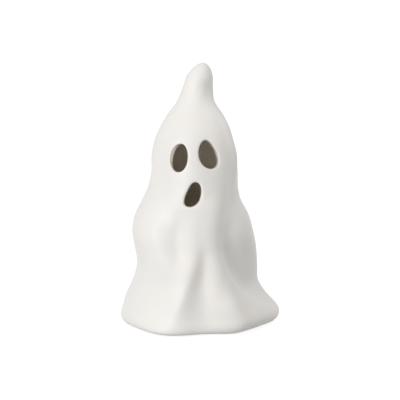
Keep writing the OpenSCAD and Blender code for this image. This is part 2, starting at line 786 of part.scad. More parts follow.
module switch_case() {
    inner_l = switch_l - 2*case_t;
    inner_w = switch_w - 2*case_t;
    color("silver") translate([0, switch_y, 0]) difference() {
        union() {
            block(switch_l, switch_w, plate_top, switch_top);
            block(2*(ear_x + ear_r), 2*ear_r, plate_top, plate_top + case_t);
        }
        block(inner_l, inner_w, plate_top + case_t, switch_top + overrun);
        block(slot_l, slot_w, plate_top - overrun, plate_top + case_t + overrun);
        for (x = [-1, 1]) translate([x*ear_x, 0, 0])
            pillar(small_screw_r + close_fit, plate_top - overrun, plate_top + case_t + overrun);
    }
}

module switch_wafer() {
    inner_l = switch_l - 2*case_t;
    inner_w = switch_w - 2*case_t;
    color("saddlebrown") translate([0, switch_y, 0]) difference() {
        block(inner_l - 2*close_fit, inner_w - 2*close_fit, switch_top - wafer_t, switch_top);
        for (i = [-1 : 1]) translate([i*switch_travel, 0, 0])
            block(pin_l + 2*close_fit, pin_t + 2*close_fit, switch_top - wafer_t - overrun,
                switch_top + overrun);
    }
}

module switch_terminals() {
    color("gold") for (i = [-1 : 1]) translate([i*switch_travel, switch_y, 0])
        block(pin_l, pin_t, wiper_top + close_fit, pin_top);
}

module switch_screws() {
    color("silver") for (x = [-1, 1]) translate([x*ear_x, switch_y, 0])
        pan_screw(plate_top + case_t, case_t + switch_screw_grip, small_screw_r, small_head_r,
            small_head_h);
}

module switch_slider() {
    color("black") translate([slider_x, switch_y, 0]) {
        block(flag_l, flag_w, flag_z, flag_top);
        block(knob_l, knob_w, knob_z, flag_z + close_fit);
        for (i = [-1 : 1]) translate([i*knob_l/3, 0, 0])
            block(knob_l/6, knob_w, knob_z - knob_ridge, knob_z + knob_ridge);
    }
}

// The bridge that rides on the slider and joins two terminals
module switch_wiper() {
    color("gold") translate([slider_x, switch_y, 0]) {
        block(switch_travel + 2*bump_r, wiper_w, flag_top, flag_top + wiper_t);
        for (x = [-1, 1]) translate([x*switch_travel/2, 0, wiper_top - bump_r]) rotate([90, 0, 0])
            cylinder(r = bump_r, h = wiper_w, center = true, $fn = round_sides);
    }
}

// Points of a smooth curve through a wire's own points
function curve_at(p, i, t) =
    let (
        last = len(p) - 1,
        m0 = (p[min(i + 1, last)] - p[max(i - 1, 0)])/2,
        m1 = (p[min(i + 2, last)] - p[i])/2
    )
    p[i]*(1 + 2*t)*(1 - t)*(1 - t) + m0*t*(1 - t)*(1 - t) + p[i + 1]*t*t*(3 - 2*t) + m1*t*t*(t - 1);
function wire_path(p) = concat(
    [for (i = [0 : len(p) - 2], k = [0 : wire_steps - 1]) curve_at(p, i, k/wire_steps)],
    [p[len(p) - 1]]
);

module red_wire() {
    color("red") tube(wire_path(red_route), wire_r, wire_sides, [0, 1, 2], [-1, 0, 0], [0, 0, -1]);
}

module white_wire() {
    color("white") tube(wire_path(white_route), wire_r, wire_sides, [1, 0, 0], [0, 0, 1], [0, 0, -1]);
}

module black_wire() {
    color("black") tube(wire_path(black_route), wire_r, wire_sides, [0, 1, 0], [1, 0, 0], [0, 0, -1]);
}

ceramic_body();
felt_foot(0);  // felt_foot_1
felt_foot(1);  // felt_foot_2
felt_foot(2);  // felt_foot_3
felt_foot(3);  // felt_foot_4
silicone_bead();
light_cup();
base_plate();
plate_screws();
battery_door();
door_screw(-1);  // door_screw_1
door_screw(1);  // door_screw_2
button_cell(0);  // button_cell_1
button_cell(1);  // button_cell_2
button_cell(2);  // button_cell_3
positive_contact();
negative_contact();
negative_spring();
circuit_board();
board_screws();
led_lens();
led_leads();
controller_chip();
resistor();
light_diffuser();
switch_case();
switch_wafer();
switch_terminals();
switch_screws();
switch_slider();
switch_wiper();
red_wire();
white_wire();
black_wire();
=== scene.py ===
import math

import bpy
import numpy as np
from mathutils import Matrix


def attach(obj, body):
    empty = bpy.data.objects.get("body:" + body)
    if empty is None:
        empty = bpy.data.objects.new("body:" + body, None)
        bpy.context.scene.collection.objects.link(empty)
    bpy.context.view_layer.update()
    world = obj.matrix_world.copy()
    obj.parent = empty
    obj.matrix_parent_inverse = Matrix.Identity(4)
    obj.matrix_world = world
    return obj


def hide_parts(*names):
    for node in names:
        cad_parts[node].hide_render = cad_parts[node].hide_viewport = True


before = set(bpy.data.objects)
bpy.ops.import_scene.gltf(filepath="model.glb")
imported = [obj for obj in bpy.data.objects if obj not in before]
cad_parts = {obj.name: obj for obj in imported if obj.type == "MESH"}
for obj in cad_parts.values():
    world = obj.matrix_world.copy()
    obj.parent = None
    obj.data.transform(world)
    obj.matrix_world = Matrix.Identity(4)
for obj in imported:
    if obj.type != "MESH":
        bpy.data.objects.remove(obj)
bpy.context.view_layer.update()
mm = 0.001
print("frame loaded")


# Puts new data into the scene as an object
def addObject(name, data):
    made = bpy.data.objects.new(name, data)
    bpy.context.scene.collection.objects.link(made)
    return made


# Camera: looks along +Y, a little down, through a long lens

cameraView = {
    "elevation": 12,  # degrees over the horizon
    "distance": 4,  # metres
    "pixel": 0.6445,  # millimetres of the object in one pixel of the photograph
    "pixels": 400,  # sides of the photograph
    "origin": (199.5, 322),  # pixel of the point on the table under the figure's middle
}


# The frame's middle lies off the origin by its pixels times the size of a pixel, along the
# camera's own right and up
def makeCamera(v):
    tilt = math.radians(v["elevation"])
    up = np.array([0, math.sin(tilt), math.cos(tilt)])
    back = np.array([0, -math.cos(tilt), math.sin(tilt)])
    right = np.array([1, 0, 0])
    pixel = v["pixel"] * mm
    middle = right * (v["pixels"] / 2 - v["origin"][0]) * pixel
    middle = middle + up * (v["origin"][1] - v["pixels"] / 2) * pixel
    lens = bpy.data.cameras.new("camera")
    lens.lens = lens.sensor_width * v["distance"] / (v["pixels"] * pixel)
    lens.clip_end = 100
    camera = addObject("camera", lens)
    camera.location = middle + back * v["distance"]
    camera.rotation_euler = (math.pi / 2 - tilt, 0, 0)
    bpy.context.scene.camera = camera


makeCamera(cameraView)


# One output of a shader node. Sums, differences, products and powers of it add Math nodes.
class Wire:
    def __init__(self, finish, output):
        self.finish, self.output = finish, output

    def maths(self, operation, *others):
        values = dict(enumerate((self, *others)))
        return self.finish.node("Math", {"operation": operation}, values)

    def __add__(self, other):
        return self.maths("ADD", other)

    def __sub__(self, other):
        return self.maths("SUBTRACT", other)

    def __rsub__(self, other):
        return self.finish.node("Math", {"operation": "SUBTRACT"}, {0: other, 1: self})

    def __mul__(self, other):
        return self.maths("MULTIPLY", other)

    def __truediv__(self, other):
        return self.maths("DIVIDE", other)

    def __pow__(self, other):
        return self.maths("POWER", other)

    __radd__ = __add__
    __rmul__ = __mul__

    # 0 at low and under it, 1 at high and over it, and even between
    def within(self, low, high):
        return self.finish.node("MapRange", {"clamp": True}, {0: self, 1: low, 2: high})


finishes = {}  # materials by their names


# A material, or the light from all round, made of nodes
class Finish:
    def __init__(self, name, world=False):
        self.name = name
        self.owner = bpy.data.worlds.new(name) if world else bpy.data.materials.new(name)
        self.owner.use_nodes = True
        self.tree = self.owner.node_tree
        self.tree.nodes.clear()
        self.end = self.tree.nodes.new("ShaderNodeOutput" + ("World" if world else "Material"))

    # Any node: its type, its settings, then the values or links of its sockets
    def node(self, kind, settings=None, sockets=None, out=0):
        made = self.tree.nodes.new("ShaderNode" + kind)
        for name, value in (settings or {}).items():
            setattr(made, name, value)
        for key, value in (sockets or {}).items():
            if isinstance(value, Wire):
                self.tree.links.new(value.output, made.inputs[key])
            else:
                made.inputs[key].default_value = value
        return Wire(self, made.outputs[out])

    # The object's own coordinates
    def place(self):
        return self.node("TexCoord", out=3)

    # Millimetres along X, Y or Z
    def along(self, axis):
        return self.node("SeparateXYZ", sockets={0: self.place()}, out=axis) / mm

    # Noise with this many spots across a metre
    def noise(self, scale, detail=2, rough=0.5, stretch=None):
        where = self.place()
        if stretch:
            where = self.node("Mapping", sockets={0: where, 3: stretch})
        return self.node("TexNoise", sockets={
            "Vector": where, "Scale": scale, "Detail": detail, "Roughness": rough})

    # The first colour where the share is 0, and the second where it is 1
    def mix(self, share, first, second):
        colours = [c if isinstance(c, Wire) else (*c, 1) for c in (first, second)]
        return self.node("Mix", {"data_type": "RGBA"}, {0: share, 6: colours[0], 7: colours[1]}, 2)

    # Tilts the surface as its height changes, by a depth in millimetres
    def bump(self, height, depth, strength):
        return self.node("Bump", sockets={
            "Height": height, "Distance": depth * mm, "Strength": strength})

    # The shader of the material, whose sockets are named with _ for a space
    def skin(self, **sockets):
        named = {name.replace("_", " "): value for name, value in sockets.items()}
        shader = self.node("BsdfPrincipled", sockets=named)
        self.close(shader)
        finishes[self.name] = self.owner

    def close(self, shader):
        self.tree.links.new(shader.output, self.end.inputs["Surface"])


# Ceramic: satin white glaze outside, bare warm clay inside and under the foot with a faint
# painted glow, and clay darkened with painted shade on the walls of the eyes and the mouth

glaze = {
    "colour": (0.85, 0.84, 0.823),
    "thin": (0.84, 0.82, 0.793),
    "roughness": 0.42,
    "spread": 0.10,  # of the roughness
    "pools": 38,  # spots of each pattern across a metre
    "dulling": 120,
    "waves": 170,
    "grain": 900,
    "grainShare": 0.12,  # height of the grain beside the waves
    "depth": 0.05,  # millimetres of the bump
    "shader": {"IOR": 1.46, "Specular_IOR_Level": 0.42},
}
firedClay = {
    "spots": 260,  # spots of each pattern across a metre
    "grain": 1400,
    "roughness": 0.82,
    "spread": 0.1,
    "depth": 0.06,  # millimetres of the bump
    # colour, darker colour, and a faint painted glow that lightens the hollow: of the bare clay,
    # and of the walls of the eyes and the mouth, clay darkened with painted shade and without glow
    "bare_clay_painted_glow": ((0.93, 0.875, 0.79), (0.90, 0.84, 0.745), (0.0045, 0.0034, 0.0022)),
    "cut_clay_painted_shade": ((0.62, 0.58, 0.52), (0.58, 0.54, 0.48), (0, 0, 0)),
}


# Two whites in slow pools, a roughness that varies slowly about its middle, and a bump of waves
# with a little fine grain
def glazeFinish(g):
    f = Finish("white_glaze")
    pools = f.noise(g["pools"], 3).within(0.3, 0.7)
    grain = f.noise(g["grain"], 3, 0.6)
    rough = g["roughness"] + g["spread"] * (f.noise(g["dulling"], 3) - 0.5)
    waves = f.noise(g["waves"], 2)
    f.skin(
        Base_Color=f.mix(pools, g["colour"], g["thin"]), Roughness=rough,
        Normal=f.bump(waves + g["grainShare"] * grain, g["depth"], 0.5), **g["shader"])


# Two close colours in spots, one grain for the roughness and the bump, and a painted glow, which
# only the bare clay has
def clayFinish(name, d):
    f = Finish(name)
    colour, dark, glow = d[name]
    spots = f.noise(d["spots"], 4, 0.6).within(0.35, 0.65)
    grain = f.noise(d["grain"], 3, 0.7)
    # the emission is a faint painted glow, light that no lamp gives, which lightens the hollow
    f.skin(
        Base_Color=f.mix(spots, colour, dark), Roughness=d["roughness"] + d["spread"] * grain,
        Emission_Color=(*glow, 1), Emission_Strength=1.0, Normal=f.bump(grain, d["depth"], 0.6))


# Ghost: the same skin as the solid's, on a fine grid, with rolled edges at its openings

ghost = {
    "height": 169,
    "halfWidth": 51,
    "foot": 1,  # the felt feet lift it this far off the table
    "wall": 3.2,
    "within": 0.18,  # how far the skin stays inside the facets of the solid
    "hem": 8,  # rounding of the hem
    "tip": 11,  # height of the domed tip
    "hollowTop": 149,  # top of the hollow over the foot
    "hollowDome": 14,
    "floorTop": 8,
    "floorFillet": 4,
    "columns": 264,
    "rowStep": 0.86,
    "hollowStep": 2.6,
    "hemRows": 12,
    "tipRows": 14,
    "floorRows": 6,
    "domeRows": 9,
    "faceZone": (76, 130),  # heights at which the hollow has the skin's own rows
    # height share, then the reach to the left, right, front and back as shares of halfWidth
    "levelShares": [
        [0.000, 1.050, 1.100, 0.885, 0.895], [0.047, 0.985, 1.105, 0.860, 0.905],
        [0.101, 0.935, 0.960, 0.860, 0.885], [0.148, 0.865, 0.855, 0.860, 0.850],
        [0.195, 0.810, 0.815, 0.855, 0.800], [0.243, 0.790, 0.780, 0.855, 0.770],
        [0.296, 0.820, 0.740, 0.860, 0.765], [0.355, 0.850, 0.685, 0.865, 0.765],
        [0.414, 0.820, 0.625, 0.815, 0.730], [0.473, 0.725, 0.525, 0.710, 0.650],
        [0.521, 0.655, 0.490, 0.610, 0.580], [0.580, 0.610, 0.485, 0.530, 0.540],
        [0.651, 0.605, 0.460, 0.485, 0.520], [0.722, 0.545, 0.390, 0.455, 0.470],
        [0.787, 0.435, 0.325, 0.375, 0.375], [0.852, 0.290, 0.195, 0.260, 0.245],
        [0.908, 0.215, 0.175, 0.200, 0.185], [0.947, 0.175, 0.175, 0.185, 0.175],
        [1.000, 0.105, 0.185, 0.170, 0.165],
    ],
    # folds: angle at the foot and at the top, lower and upper end and lift as shares, half width
    "foldShares": [
        [-107, -84, -0.07, 0.535, 0.16, 13],  # broad ridge left of the middle
        [-114, -82, 0.005, 0.38, 0.085, 7],  # its crest
        [-95, -75, -0.19, 0.63, -0.115, 15],  # valley of the middle
        [-111, -83, 0.045, 0.345, -0.085, 8],  # its deep part
        [-66, -57, -0.145, 0.24, 0.11, 10],  # ridge right of the middle
        [-53, -69, -0.035, 0.30, -0.055, 13],  # dip of its crest
        [-66, -65, -0.055, 0.125, -0.065, 9],  # dip at the hem
        [-29, -36, -0.30, 0.13, -0.16, 24],  # hem drawn in, front right
        [4, -73, -0.06, 0.515, -0.37, 29],  # long hollow of the right-hand side
        [-25, -22, 0.095, 0.435, 0.075, 16],  # bulge within it
        [-27, -39, 0.23, 0.43, 0.04, 10],  # its crest
        [-49, -35, 0.325, 0.56, -0.07, 18],  # hollow over it
        [-96, -100, 0.055, 0.55, -0.18, 17],  # hollow under the mouth
        [-117, -121, 0.23, 0.545, -0.035, 8],  # its left end
        [-112, -107, 0.21, 0.52, -0.025, 7],
        [-130, -110, 0.145, 0.365, 0.03, 38],  # belly on the left
        [-113, -129, -0.36, 0.125, 0.31, 24],  # swell of the hem, front left
        [-48, -45, 0.50, 0.975, 0.07, 19],  # cheek on the right
        [-97, -101, 0.375, 0.86, 0.215, 25],  # face
        [-57, -74, 0.085, 0.945, 0.14, 24],  # long soft ridge up to the right eye
        [-28, -36, 0.48, 0.935, 0.08, 10],  # edge of the head on the right
        [-37, -47, 0.825, 0.96, -0.035, 22],  # notch under the tip
        [62, 74, -0.25, 0.50, 0.100, 13],  # folds of the back
        [88, 92, -0.20, 0.46, -0.070, 11],
        [116, 104, -0.28, 0.56, 0.090, 14],
        [145, 138, -0.15, 0.42, -0.060, 13],
        [35, 44, -0.18, 0.44, -0.060, 14],
        [100, 96, 0.30, 0.62, 0.030, 30],
    ],
}
# Openings: size, turn from the front, then shares: height, widening at the foot, lean of the
# top, bend of the middle and waist. How full the ellipse is, with less than 1 fuller. Degrees
# by which the sides slope up to the front. How far the sides flare outwards, towards which
# angle, and by which share their rounding is smaller there. The window of the grid that it
# takes, in degrees and in heights.
openings = {
    "leftEye": {
        "size": (8.8, 17), "turn": -15.4, "shares": (0.671, 0.03, 0.07, 0, 0),
        "fullness": 0.93, "pitch": 14, "flare": (1.6, 165, 0.7),
        "across": (-131, -93), "rise": (101.6, 126.5)},
    "rightEye": {
        "size": (9.9, 17.2), "turn": 17, "shares": (0.6815, 0.08, -0.08, -0.02, 0),
        "fullness": 0.97, "pitch": 9, "flare": (0.4, 60, 0),
        "across": (-93, -51), "rise": (103, 128)},
    "mouth": {
        "size": (8.3, 15.7), "turn": -1, "shares": (0.539, 0.24, 0.12, 0.06, 0.10),
        "fullness": 0.95, "pitch": 8, "flare": (0.4, 300, 0),
        "across": (-109, -73), "rise": (79, 101.6)},
}
openingEdge = {
    "rim": 1.3,  # rounding outside
    "innerRim": 0.9,
    "patchRings": 7,
    "rimRings": 6,
    "wallRings": 3,
    "innerRings": 3,
}
lightSeat = {
    "recess": (29.06, 5),  # radius and height of the recess that takes the light's flange
    "bore": (25.06, 9),  # radius of the bore, and the height of the floor's top
    "edge": 0.6,  # rounding of their edges
    "edgeSteps": 3,
    "flatRings": 4,  # rings across the foot, and across the floor
}


# The angles of a quarter circle in even steps
def quarter(steps):
    return np.linspace(0, np.pi / 2, steps + 1)


# A cubic from a to b as t goes from 0 to 1, with a slope at each end
def cubic(a, b, slopeA, slopeB, t):
    return (a * (1 + 2 * t) * (1 - t) ** 2 + slopeA * t * (1 - t) ** 2
            + b * t * t * (3 - 2 * t) + slopeB * t * t * (t - 1))


# A column of the level table at a height share: cubics through its rows whose slopes are
# those between each row's neighbours
def reach(g, share, column):
    rows = np.array(g["levelShares"])
    at, value = rows[:, 0], rows[:, column]
    around = np.clip(np.arange(len(at))[:, None] + [-1, 1], 0, len(at) - 1)
    before, after = around.T
    slope = (value[after] - value[before]) / (at[after] - at[before])
    i = np.clip(np.searchsorted(at, share, side="right") - 1, 0, len(at) - 2)
    step = at[i + 1] - at[i]
    t = (share - at[i]) / step
    return cubic(value[i], value[i + 1], slope[i] * step, slope[i + 1] * step, t)


# Middle and half size of the section at a height: x, half x, y, half y
def section(g, height):
    left, right, front, back = [reach(g, height / g["height"], c) for c in (1, 2, 3, 4)]
    half = g["halfWidth"] / 2
    return (half * (right - left), half * (right + left),
            half * (back - front), half * (back + front))


# The sum of the folds: each is its lift times a squared sine up its length and a bell across it
def drape(g, angle, height):
    share = height / g["height"]
    lift = np.zeros(np.broadcast(angle, height).shape)
    for foot, top, low, high, amount, width in g["foldShares"]:
        start = max(low, 0)
        along = (np.maximum(share, start) - start) / (high - start)
        off = ((angle - foot - (top - foot) * along + 180) % 360 - 180) / width
        rise = np.sin(np.pi * np.clip((share - low) / (high - low), 0, 1)) ** 2
        lift = lift + amount * rise * np.exp(-off * off)
    return g["halfWidth"] * lift


# A quarter circle that draws an edge in over its first millimetres
def tuck(up, radius):
    return radius - np.sqrt(np.clip(radius ** 2 - np.clip(radius - up, 0, None) ** 2, 0, None))


# A point of the skin: the section's ellipse, pushed out by the folds and drawn in by the
# inset, then shrunk under a dome
def skinPoints(g, angle, height, inset, top, dome):
    midX, halfX, midY, halfY = section(g, height)
    turn = np.radians(angle)
    x, y = halfX * np.cos(turn), halfY * np.sin(turn)
    radius = np.hypot(x, y)
    shrink = np.sqrt(np.clip(1 - (np.clip(height - top + dome, 0, None) / dome) ** 2, 0, 1))
    k = shrink * (radius + drape(g, angle, height) - inset) / radius
    z = g["foot"] + height + 0 * k
    return np.stack([midX + k * x, midY + k * y, z], -1)


# The glazed skin: in by the tuck of the hem, by a hair so that it stays inside the solid, and
# by how far it is sunk
def outside(g, angle, height, sink=0):
    inset = tuck(height, g["hem"]) + g["within"] + sink
    return skinPoints(g, angle, height, inset, g["height"], g["tip"])


# Depth of the wall towards the middle, so that it is even when measured square to the skin
def wallDepth(g, height):
    step = g["height"] / 100
    slope = (section(g, height + step)[1] - section(g, height - step)[1]) / (2 * step)
    return g["wall"] * np.sqrt(1 + slope ** 2)


# The skin of the hollow: in by the wall, and by a tuck where it comes down to the floor
def inside(g, angle, height):
    inset = wallDepth(g, height) + tuck(height - g["floorTop"], g["floorFillet"])
    return skinPoints(g, angle, height, inset, g["hollowTop"], g["hollowDome"])


# Rows of a side: round its foot, up its length, and round its dome
def sideRows(low, fillet, footRows, knee, dome, domeRows, step):
    foot = low + fillet * (1 - np.cos(quarter(footRows)))
    count = int(round((knee - low - fillet) / step))
    straight = np.linspace(low + fillet, knee, count + 1)
    over = knee + dome * np.sin(quarter(domeRows))
    return np.concatenate([foot[:-1], straight[:-1], over[:-1]])


# Quads between rings of the same length, given as rows of point numbers
def ringQuads(rings):
    after = np.roll(rings, -1, axis=1)
    quads = np.stack([rings[:-1], after[:-1], after[1:], rings[1:]], -1)
    return quads.reshape(-1, 4)


# Triangles from a ring to the point that closes it, turned round where the ring is a lower end
def fan(ring, point, low=False):
    after, pole = np.roll(ring, -1), 0 * ring + point
    return np.stack([after, ring, pole, pole] if low else [ring, after, pole, pole], -1)


# The numbers of the grid's points round a window, counter-clockwise from its lower left corner
def windowEdge(numbers, rows, columns):
    r0, r1 = rows
    c0, c1 = columns
    return np.concatenate([
        numbers[r0, c0:c1], numbers[r0:r1, c1], numbers[r1, c1:c0:-1], numbers[r1:r0:-1, c0]])


# An opening's edge in millimetres across and up: an ellipse whose sine and cosine are raised to
# a power that makes it fuller, then widened, drawn in at its waist, leaned and bent
def openingEdgeAt(o, p):
    width, height = o["size"]
    _, widen, lean, bend, waist = o["shares"]
    s, c = [np.sign(v) * abs(v) ** o["fullness"] for v in (np.sin(p), np.cos(p))]
    across = width / 2 * c * (1 - widen * s - waist * c * c) + lean * height / 2 * s
    return np.stack([across + bend * width * c * c, height / 2 * s])


# The edge, and the way straight out from it, found between two points near by
def openingCurve(o, p):
    near = 0.04
    step = openingEdgeAt(o, p + near) - openingEdgeAt(o, p - near)
    step /= np.hypot(*step)
    return *openingEdgeAt(o, p), step[1], -step[0]


# A closed shell: a grid for the skin, another for the hollow, and rings that join them under
# the foot. Each opening takes a window out of both grids, and rings lead from the edge of one
# window over the rim, through the wall and round to the edge of the other.
def makeGhost(g, seat, edge):
    columns = g["columns"]
    angles = -180 + 360 * np.arange(columns) / columns
    rows = sideRows(0, g["hem"], g["hemRows"], g["height"] - g["tip"], g["tip"], g["tipRows"],
                    g["rowStep"])
    low, high = g["faceZone"]
    coarse = sideRows(g["floorTop"], g["floorFillet"], g["floorRows"],
                      g["hollowTop"] - g["hollowDome"], g["hollowDome"], g["domeRows"],
                      g["hollowStep"])
    shared = rows[(rows > low) & (rows < high)]
    gap = g["hollowStep"] / 2
    hollow = np.concatenate([
        coarse[coarse < shared[0] - gap], shared, coarse[coarse > shared[-1] + gap]])
    points, faces, shadedCutFaces, clayFaces = [], [], [], []
    count = 0

    def addPoints(made):
        nonlocal count
        made = made.reshape(-1, 3)
        points.append(made)
        count += len(made)
        return np.arange(count - len(made), count)

    skin = addPoints(outside(g, angles[None], rows[:, None])).reshape(len(rows), columns)
    cavity = addPoints(inside(g, angles[None], hollow[:, None])).reshape(len(hollow), columns)

    # foot, recess, bore and floor, as rings from the hem inwards
    turn = np.radians(angles)
    recessR, recessZ = seat["recess"]
    boreR, floorZ = seat["bore"]
    e = seat["edge"]
    bend = quarter(seat["edgeSteps"])
    away, up = e * (1 - np.sin(bend)), e * (1 - np.cos(bend))
    r = np.concatenate([recessR + away, [recessR, recessR - e / 2], boreR + away, boreR + up])
    z = np.concatenate([g["foot"] + up, [recessZ - e / 2, recessZ], recessZ + up, floorZ - away])
    r, z = r[:, None], z[:, None]
    circles = np.stack([r * np.cos(turn), r * np.sin(turn), z + 0 * turn], -1)
    hemRing = points[0][:columns]
    footT = np.linspace(0, 1, seat["flatRings"] + 2)[1:-1, None, None]
    footRings = hemRing * (1 - footT) + circles[:1] * footT
    floorRing = points[1][:columns]
    floorRings = circles[-1:] * (1 - footT) + floorRing * footT
    under = addPoints(np.concatenate([footRings, circles, floorRings])).reshape(-1, columns)
    under = np.concatenate([skin[:1], under, cavity[:1]])

    keepSkin = np.ones((len(rows) - 1, columns), bool)
    keepCavity = np.ones((len(hollow) - 1, columns), bool)
    for o in openings.values():
        middle = o["shares"][0] * g["height"]
        slant = math.tan(math.radians(o["pitch"]))
        perDegree = section(g, middle)[1] * np.pi / 180
        c = [int(np.argmin(abs(angles - a))) for a in o["across"]]
        r = [int(np.argmin(abs(rows - h))) for h in o["rise"]]
        q = [int(np.argmin(abs(hollow - rows[i]))) for i in r]
        keepSkin[r[0]:r[1], c[0]:c[1]] = False
        keepCavity[q[0]:q[1], c[0]:c[1]] = False
        around = windowEdge(skin, r, c)
        aroundAngle = windowEdge(angles[None] + 0 * rows[:, None], r, c)
        aroundUp = windowEdge(0 * angles[None] + rows[:, None], r, c)
        # the angle round the opening at which each point of the window's edge looks on it
        p = np.arctan2((aroundUp - middle) / o["size"][1],
                       (aroundAngle + 90 - o["turn"]) * perDegree / o["size"][0])
        across, up, outX, outUp = openingCurve(o, p)
        amount, towards, sharper = o["flare"]
        facing = np.clip(np.cos(p - math.radians(towards)), 0, 1) ** 2
        flare, rim = amount * facing, edge["rim"] * (1 - sharper * facing)
        innerRim = edge["innerRim"]
        straight = wallDepth(g, middle + up) - innerRim

        # angles and heights at distances out from the edge
        def offEdge(out):
            return -90 + o["turn"] + (across + out * outX) / perDegree, middle + up + out * outUp

        # the same, sunk below the skin and shifted down by the pitch
        def edgePoints(out, sink):
            made = outside(g, *offEdge(out), sink)
            made[:, 2] -= sink * slant
            return made

        def blended(t, out):
            angle, height = offEdge(out)
            return aroundAngle * (1 - t) + angle * t, aroundUp * (1 - t) + height * t

        def side(out, sink):
            return edgePoints(out + flare * (1 - sink / straight), sink)

        rings = [outside(g, *blended(t, rim + flare))
                 for t in np.linspace(0, 1, edge["patchRings"] + 1)[1:-1]]
        rings += [side(rim * (1 - math.sin(b)), rim * (1 - math.cos(b)))
                  for b in quarter(edge["rimRings"])]
        rings += [side(0, rim + (straight - rim) * t)
                  for t in np.linspace(0, 1, edge["wallRings"] + 2)[1:-1]]
        rings += [edgePoints(innerRim * (1 - math.cos(b)), straight + innerRim * math.sin(b))
                  for b in quarter(edge["innerRings"])]
        glazed = len(rings) - edge["innerRings"]
        for t in np.linspace(1, 0, edge["patchRings"])[1:-1]:
            angle, height = blended(t, innerRim)
            made = inside(g, angle, height)
            made[:, 2] -= t * wallDepth(g, height) * slant
            rings.append(made)
        numbers = addPoints(np.array(rings)).reshape(len(rings), -1)
        numbers = np.concatenate([around[None], numbers, windowEdge(cavity, q, c)[None]])
        cut = edge["patchRings"] + edge["rimRings"] - 2
        faces.append(ringQuads(numbers[:cut + 1]))
        # the walls of the openings take the clay that is darkened with painted shade
        shadedCutFaces.append(ringQuads(numbers[cut:glazed + 1]))
        clayFaces.append(ringQuads(numbers[glazed:]))

    # a point closes the tip, and another the hollow, each a hair under the end of its dome
    start, hair = np.array([0.0]), 1e-6
    tip = addPoints(outside(g, start, np.array([g["height"] - hair])))[0]
    roof = addPoints(inside(g, start, np.array([g["hollowTop"] - hair])))[0]
    skinQuads = ringQuads(skin).reshape(len(rows) - 1, columns, 4)[keepSkin]
    cavityQuads = ringQuads(cavity[:, ::-1]).reshape(len(hollow) - 1, columns, 4)
    cavityQuads = cavityQuads[:, ::-1][np.roll(keepCavity, 1, axis=1)]
    kinds = [np.concatenate(made) for made in (
        [skinQuads, fan(skin[-1], tip), *faces],
        [ringQuads(under[:, ::-1]), cavityQuads, fan(cavity[-1], roof, True), *clayFaces],
        shadedCutFaces)]
    return (np.concatenate(points), np.concatenate(kinds)), np.repeat(
        [0, 1, 2], [len(made) for made in kinds])


# Puts points in millimetres and faces of four points into a mesh. A face whose last two points
# are one becomes a triangle.
def meshPiece(name, points, faces, materials, kinds=None):
    sides = 4 - (faces[:, 2] == faces[:, 3]).astype(int)
    used = np.arange(4) < sides[:, None]
    mesh = bpy.data.meshes.new(name)
    mesh.vertices.add(len(points))
    mesh.vertices.foreach_set("co", (points * mm).astype(np.float32).ravel())
    mesh.loops.add(int(sides.sum()))
    mesh.loops.foreach_set("vertex_index", faces[used].astype(np.int32))
    mesh.polygons.add(len(faces))
    mesh.polygons.foreach_set("loop_start", (np.cumsum(sides) - sides).astype(np.int32))
    if kinds is not None:
        mesh.polygons.foreach_set("material_index", kinds.astype(np.int32))
    mesh.update(calc_edges=True)
    mesh.validate()
    mesh.polygons.foreach_set("use_smooth", np.ones(len(mesh.polygons), bool))
    for material in materials:
        mesh.materials.append(material)
    return addObject(name, mesh)


# Makes a piece that moves with the figure, of the materials named, and says which solids it
# stands for. Its slot argument is not used.
def addPiece(name, made, materials, *solids, slot=None, kinds=None):
    piece = meshPiece(name, *made, [finishes[m] for m in materials], kinds)
    if solids:
        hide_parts(*solids)
    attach(piece, "figure")


glazeFinish(glaze)
# bare clay with a faint painted glow
clayFinish("bare_clay_painted_glow", firedClay)
# clay darkened with painted shade, for the walls of the eyes and the mouth
clayFinish("cut_clay_painted_shade", firedClay)
ghostMade, ghostKinds = makeGhost(ghost, lightSeat, openingEdge)
addPiece("ghost_shell", ghostMade, ["white_glaze", "bare_clay_painted_glow", "cut_clay_painted_shade"], "ceramic_body",
         kinds=ghostKinds)
print("ghost made:", len(ghostMade[0]), "points")

# Small pieces: profiles turned about an upright line, and round sections along a path. Each
# gives points in millimetres and faces.


# A profile of radii and heights, from its lowest end out and up to its highest. An end whose
# radius is 0 becomes one point, and a looped profile joins its ends instead. waver multiplies
# the radii by a function of the angle.
def turned(profile, sides, place=(0, 0, 0), loop=False, waver=None):
    profile = np.array(profile, float)
    angle = 2 * np.pi * np.arange(sides) / sides
    wave = 1 if waver is None else waver(angle)[None]
    ends = [i for i in (0, -1) if not loop and profile[i, 0] == 0]
    body = profile[int(0 in ends):len(profile) - int(-1 in ends)]
    radius, height = body[:, :1] * wave, body[:, 1:] + 0 * angle[None]
    points = np.stack([radius * np.cos(angle), radius * np.sin(angle), height], -1)
    numbers = np.arange(points.shape[0] * sides).reshape(-1, sides)
    faces = [ringQuads(np.concatenate([numbers, numbers[:1]]) if loop else numbers)]
    points = points.reshape(-1, 3)
    for i in ends:
        faces.append(fan(numbers[i], len(points), i == 0))
        points = np.concatenate([points, [[0, 0, profile[i, 1]]]])
    return points + np.array(place), np.concatenate(faces)


# Directions with a length of 1
def unit(way):
    return way / np.linalg.norm(way, axis=-1, keepdims=True)


# A round tube along points, whose ring at each point is square to the path there. Its ends
# are closed with a point, and sideOf is any direction that the path never takes.
def carried(path, radius, sides, sideOf):
    path = np.array(path, float)
    along = unit(np.gradient(path, axis=0))
    first = unit(np.cross(along, sideOf))
    second = np.cross(along, first)
    angle = 2 * np.pi * np.arange(sides) / sides
    radius = np.broadcast_to(radius, len(path))[:, None, None]
    points = path[:, None] + radius * (
        first[:, None] * np.cos(angle)[:, None] + second[:, None] * np.sin(angle)[:, None])
    numbers = np.arange(len(path) * sides).reshape(-1, sides)
    faces = [ringQuads(numbers), fan(numbers[0], numbers.size, True),
             fan(numbers[-1], numbers.size + 1)]
    return np.concatenate([points.reshape(-1, 3), path[[0, -1]]]), np.concatenate(faces)


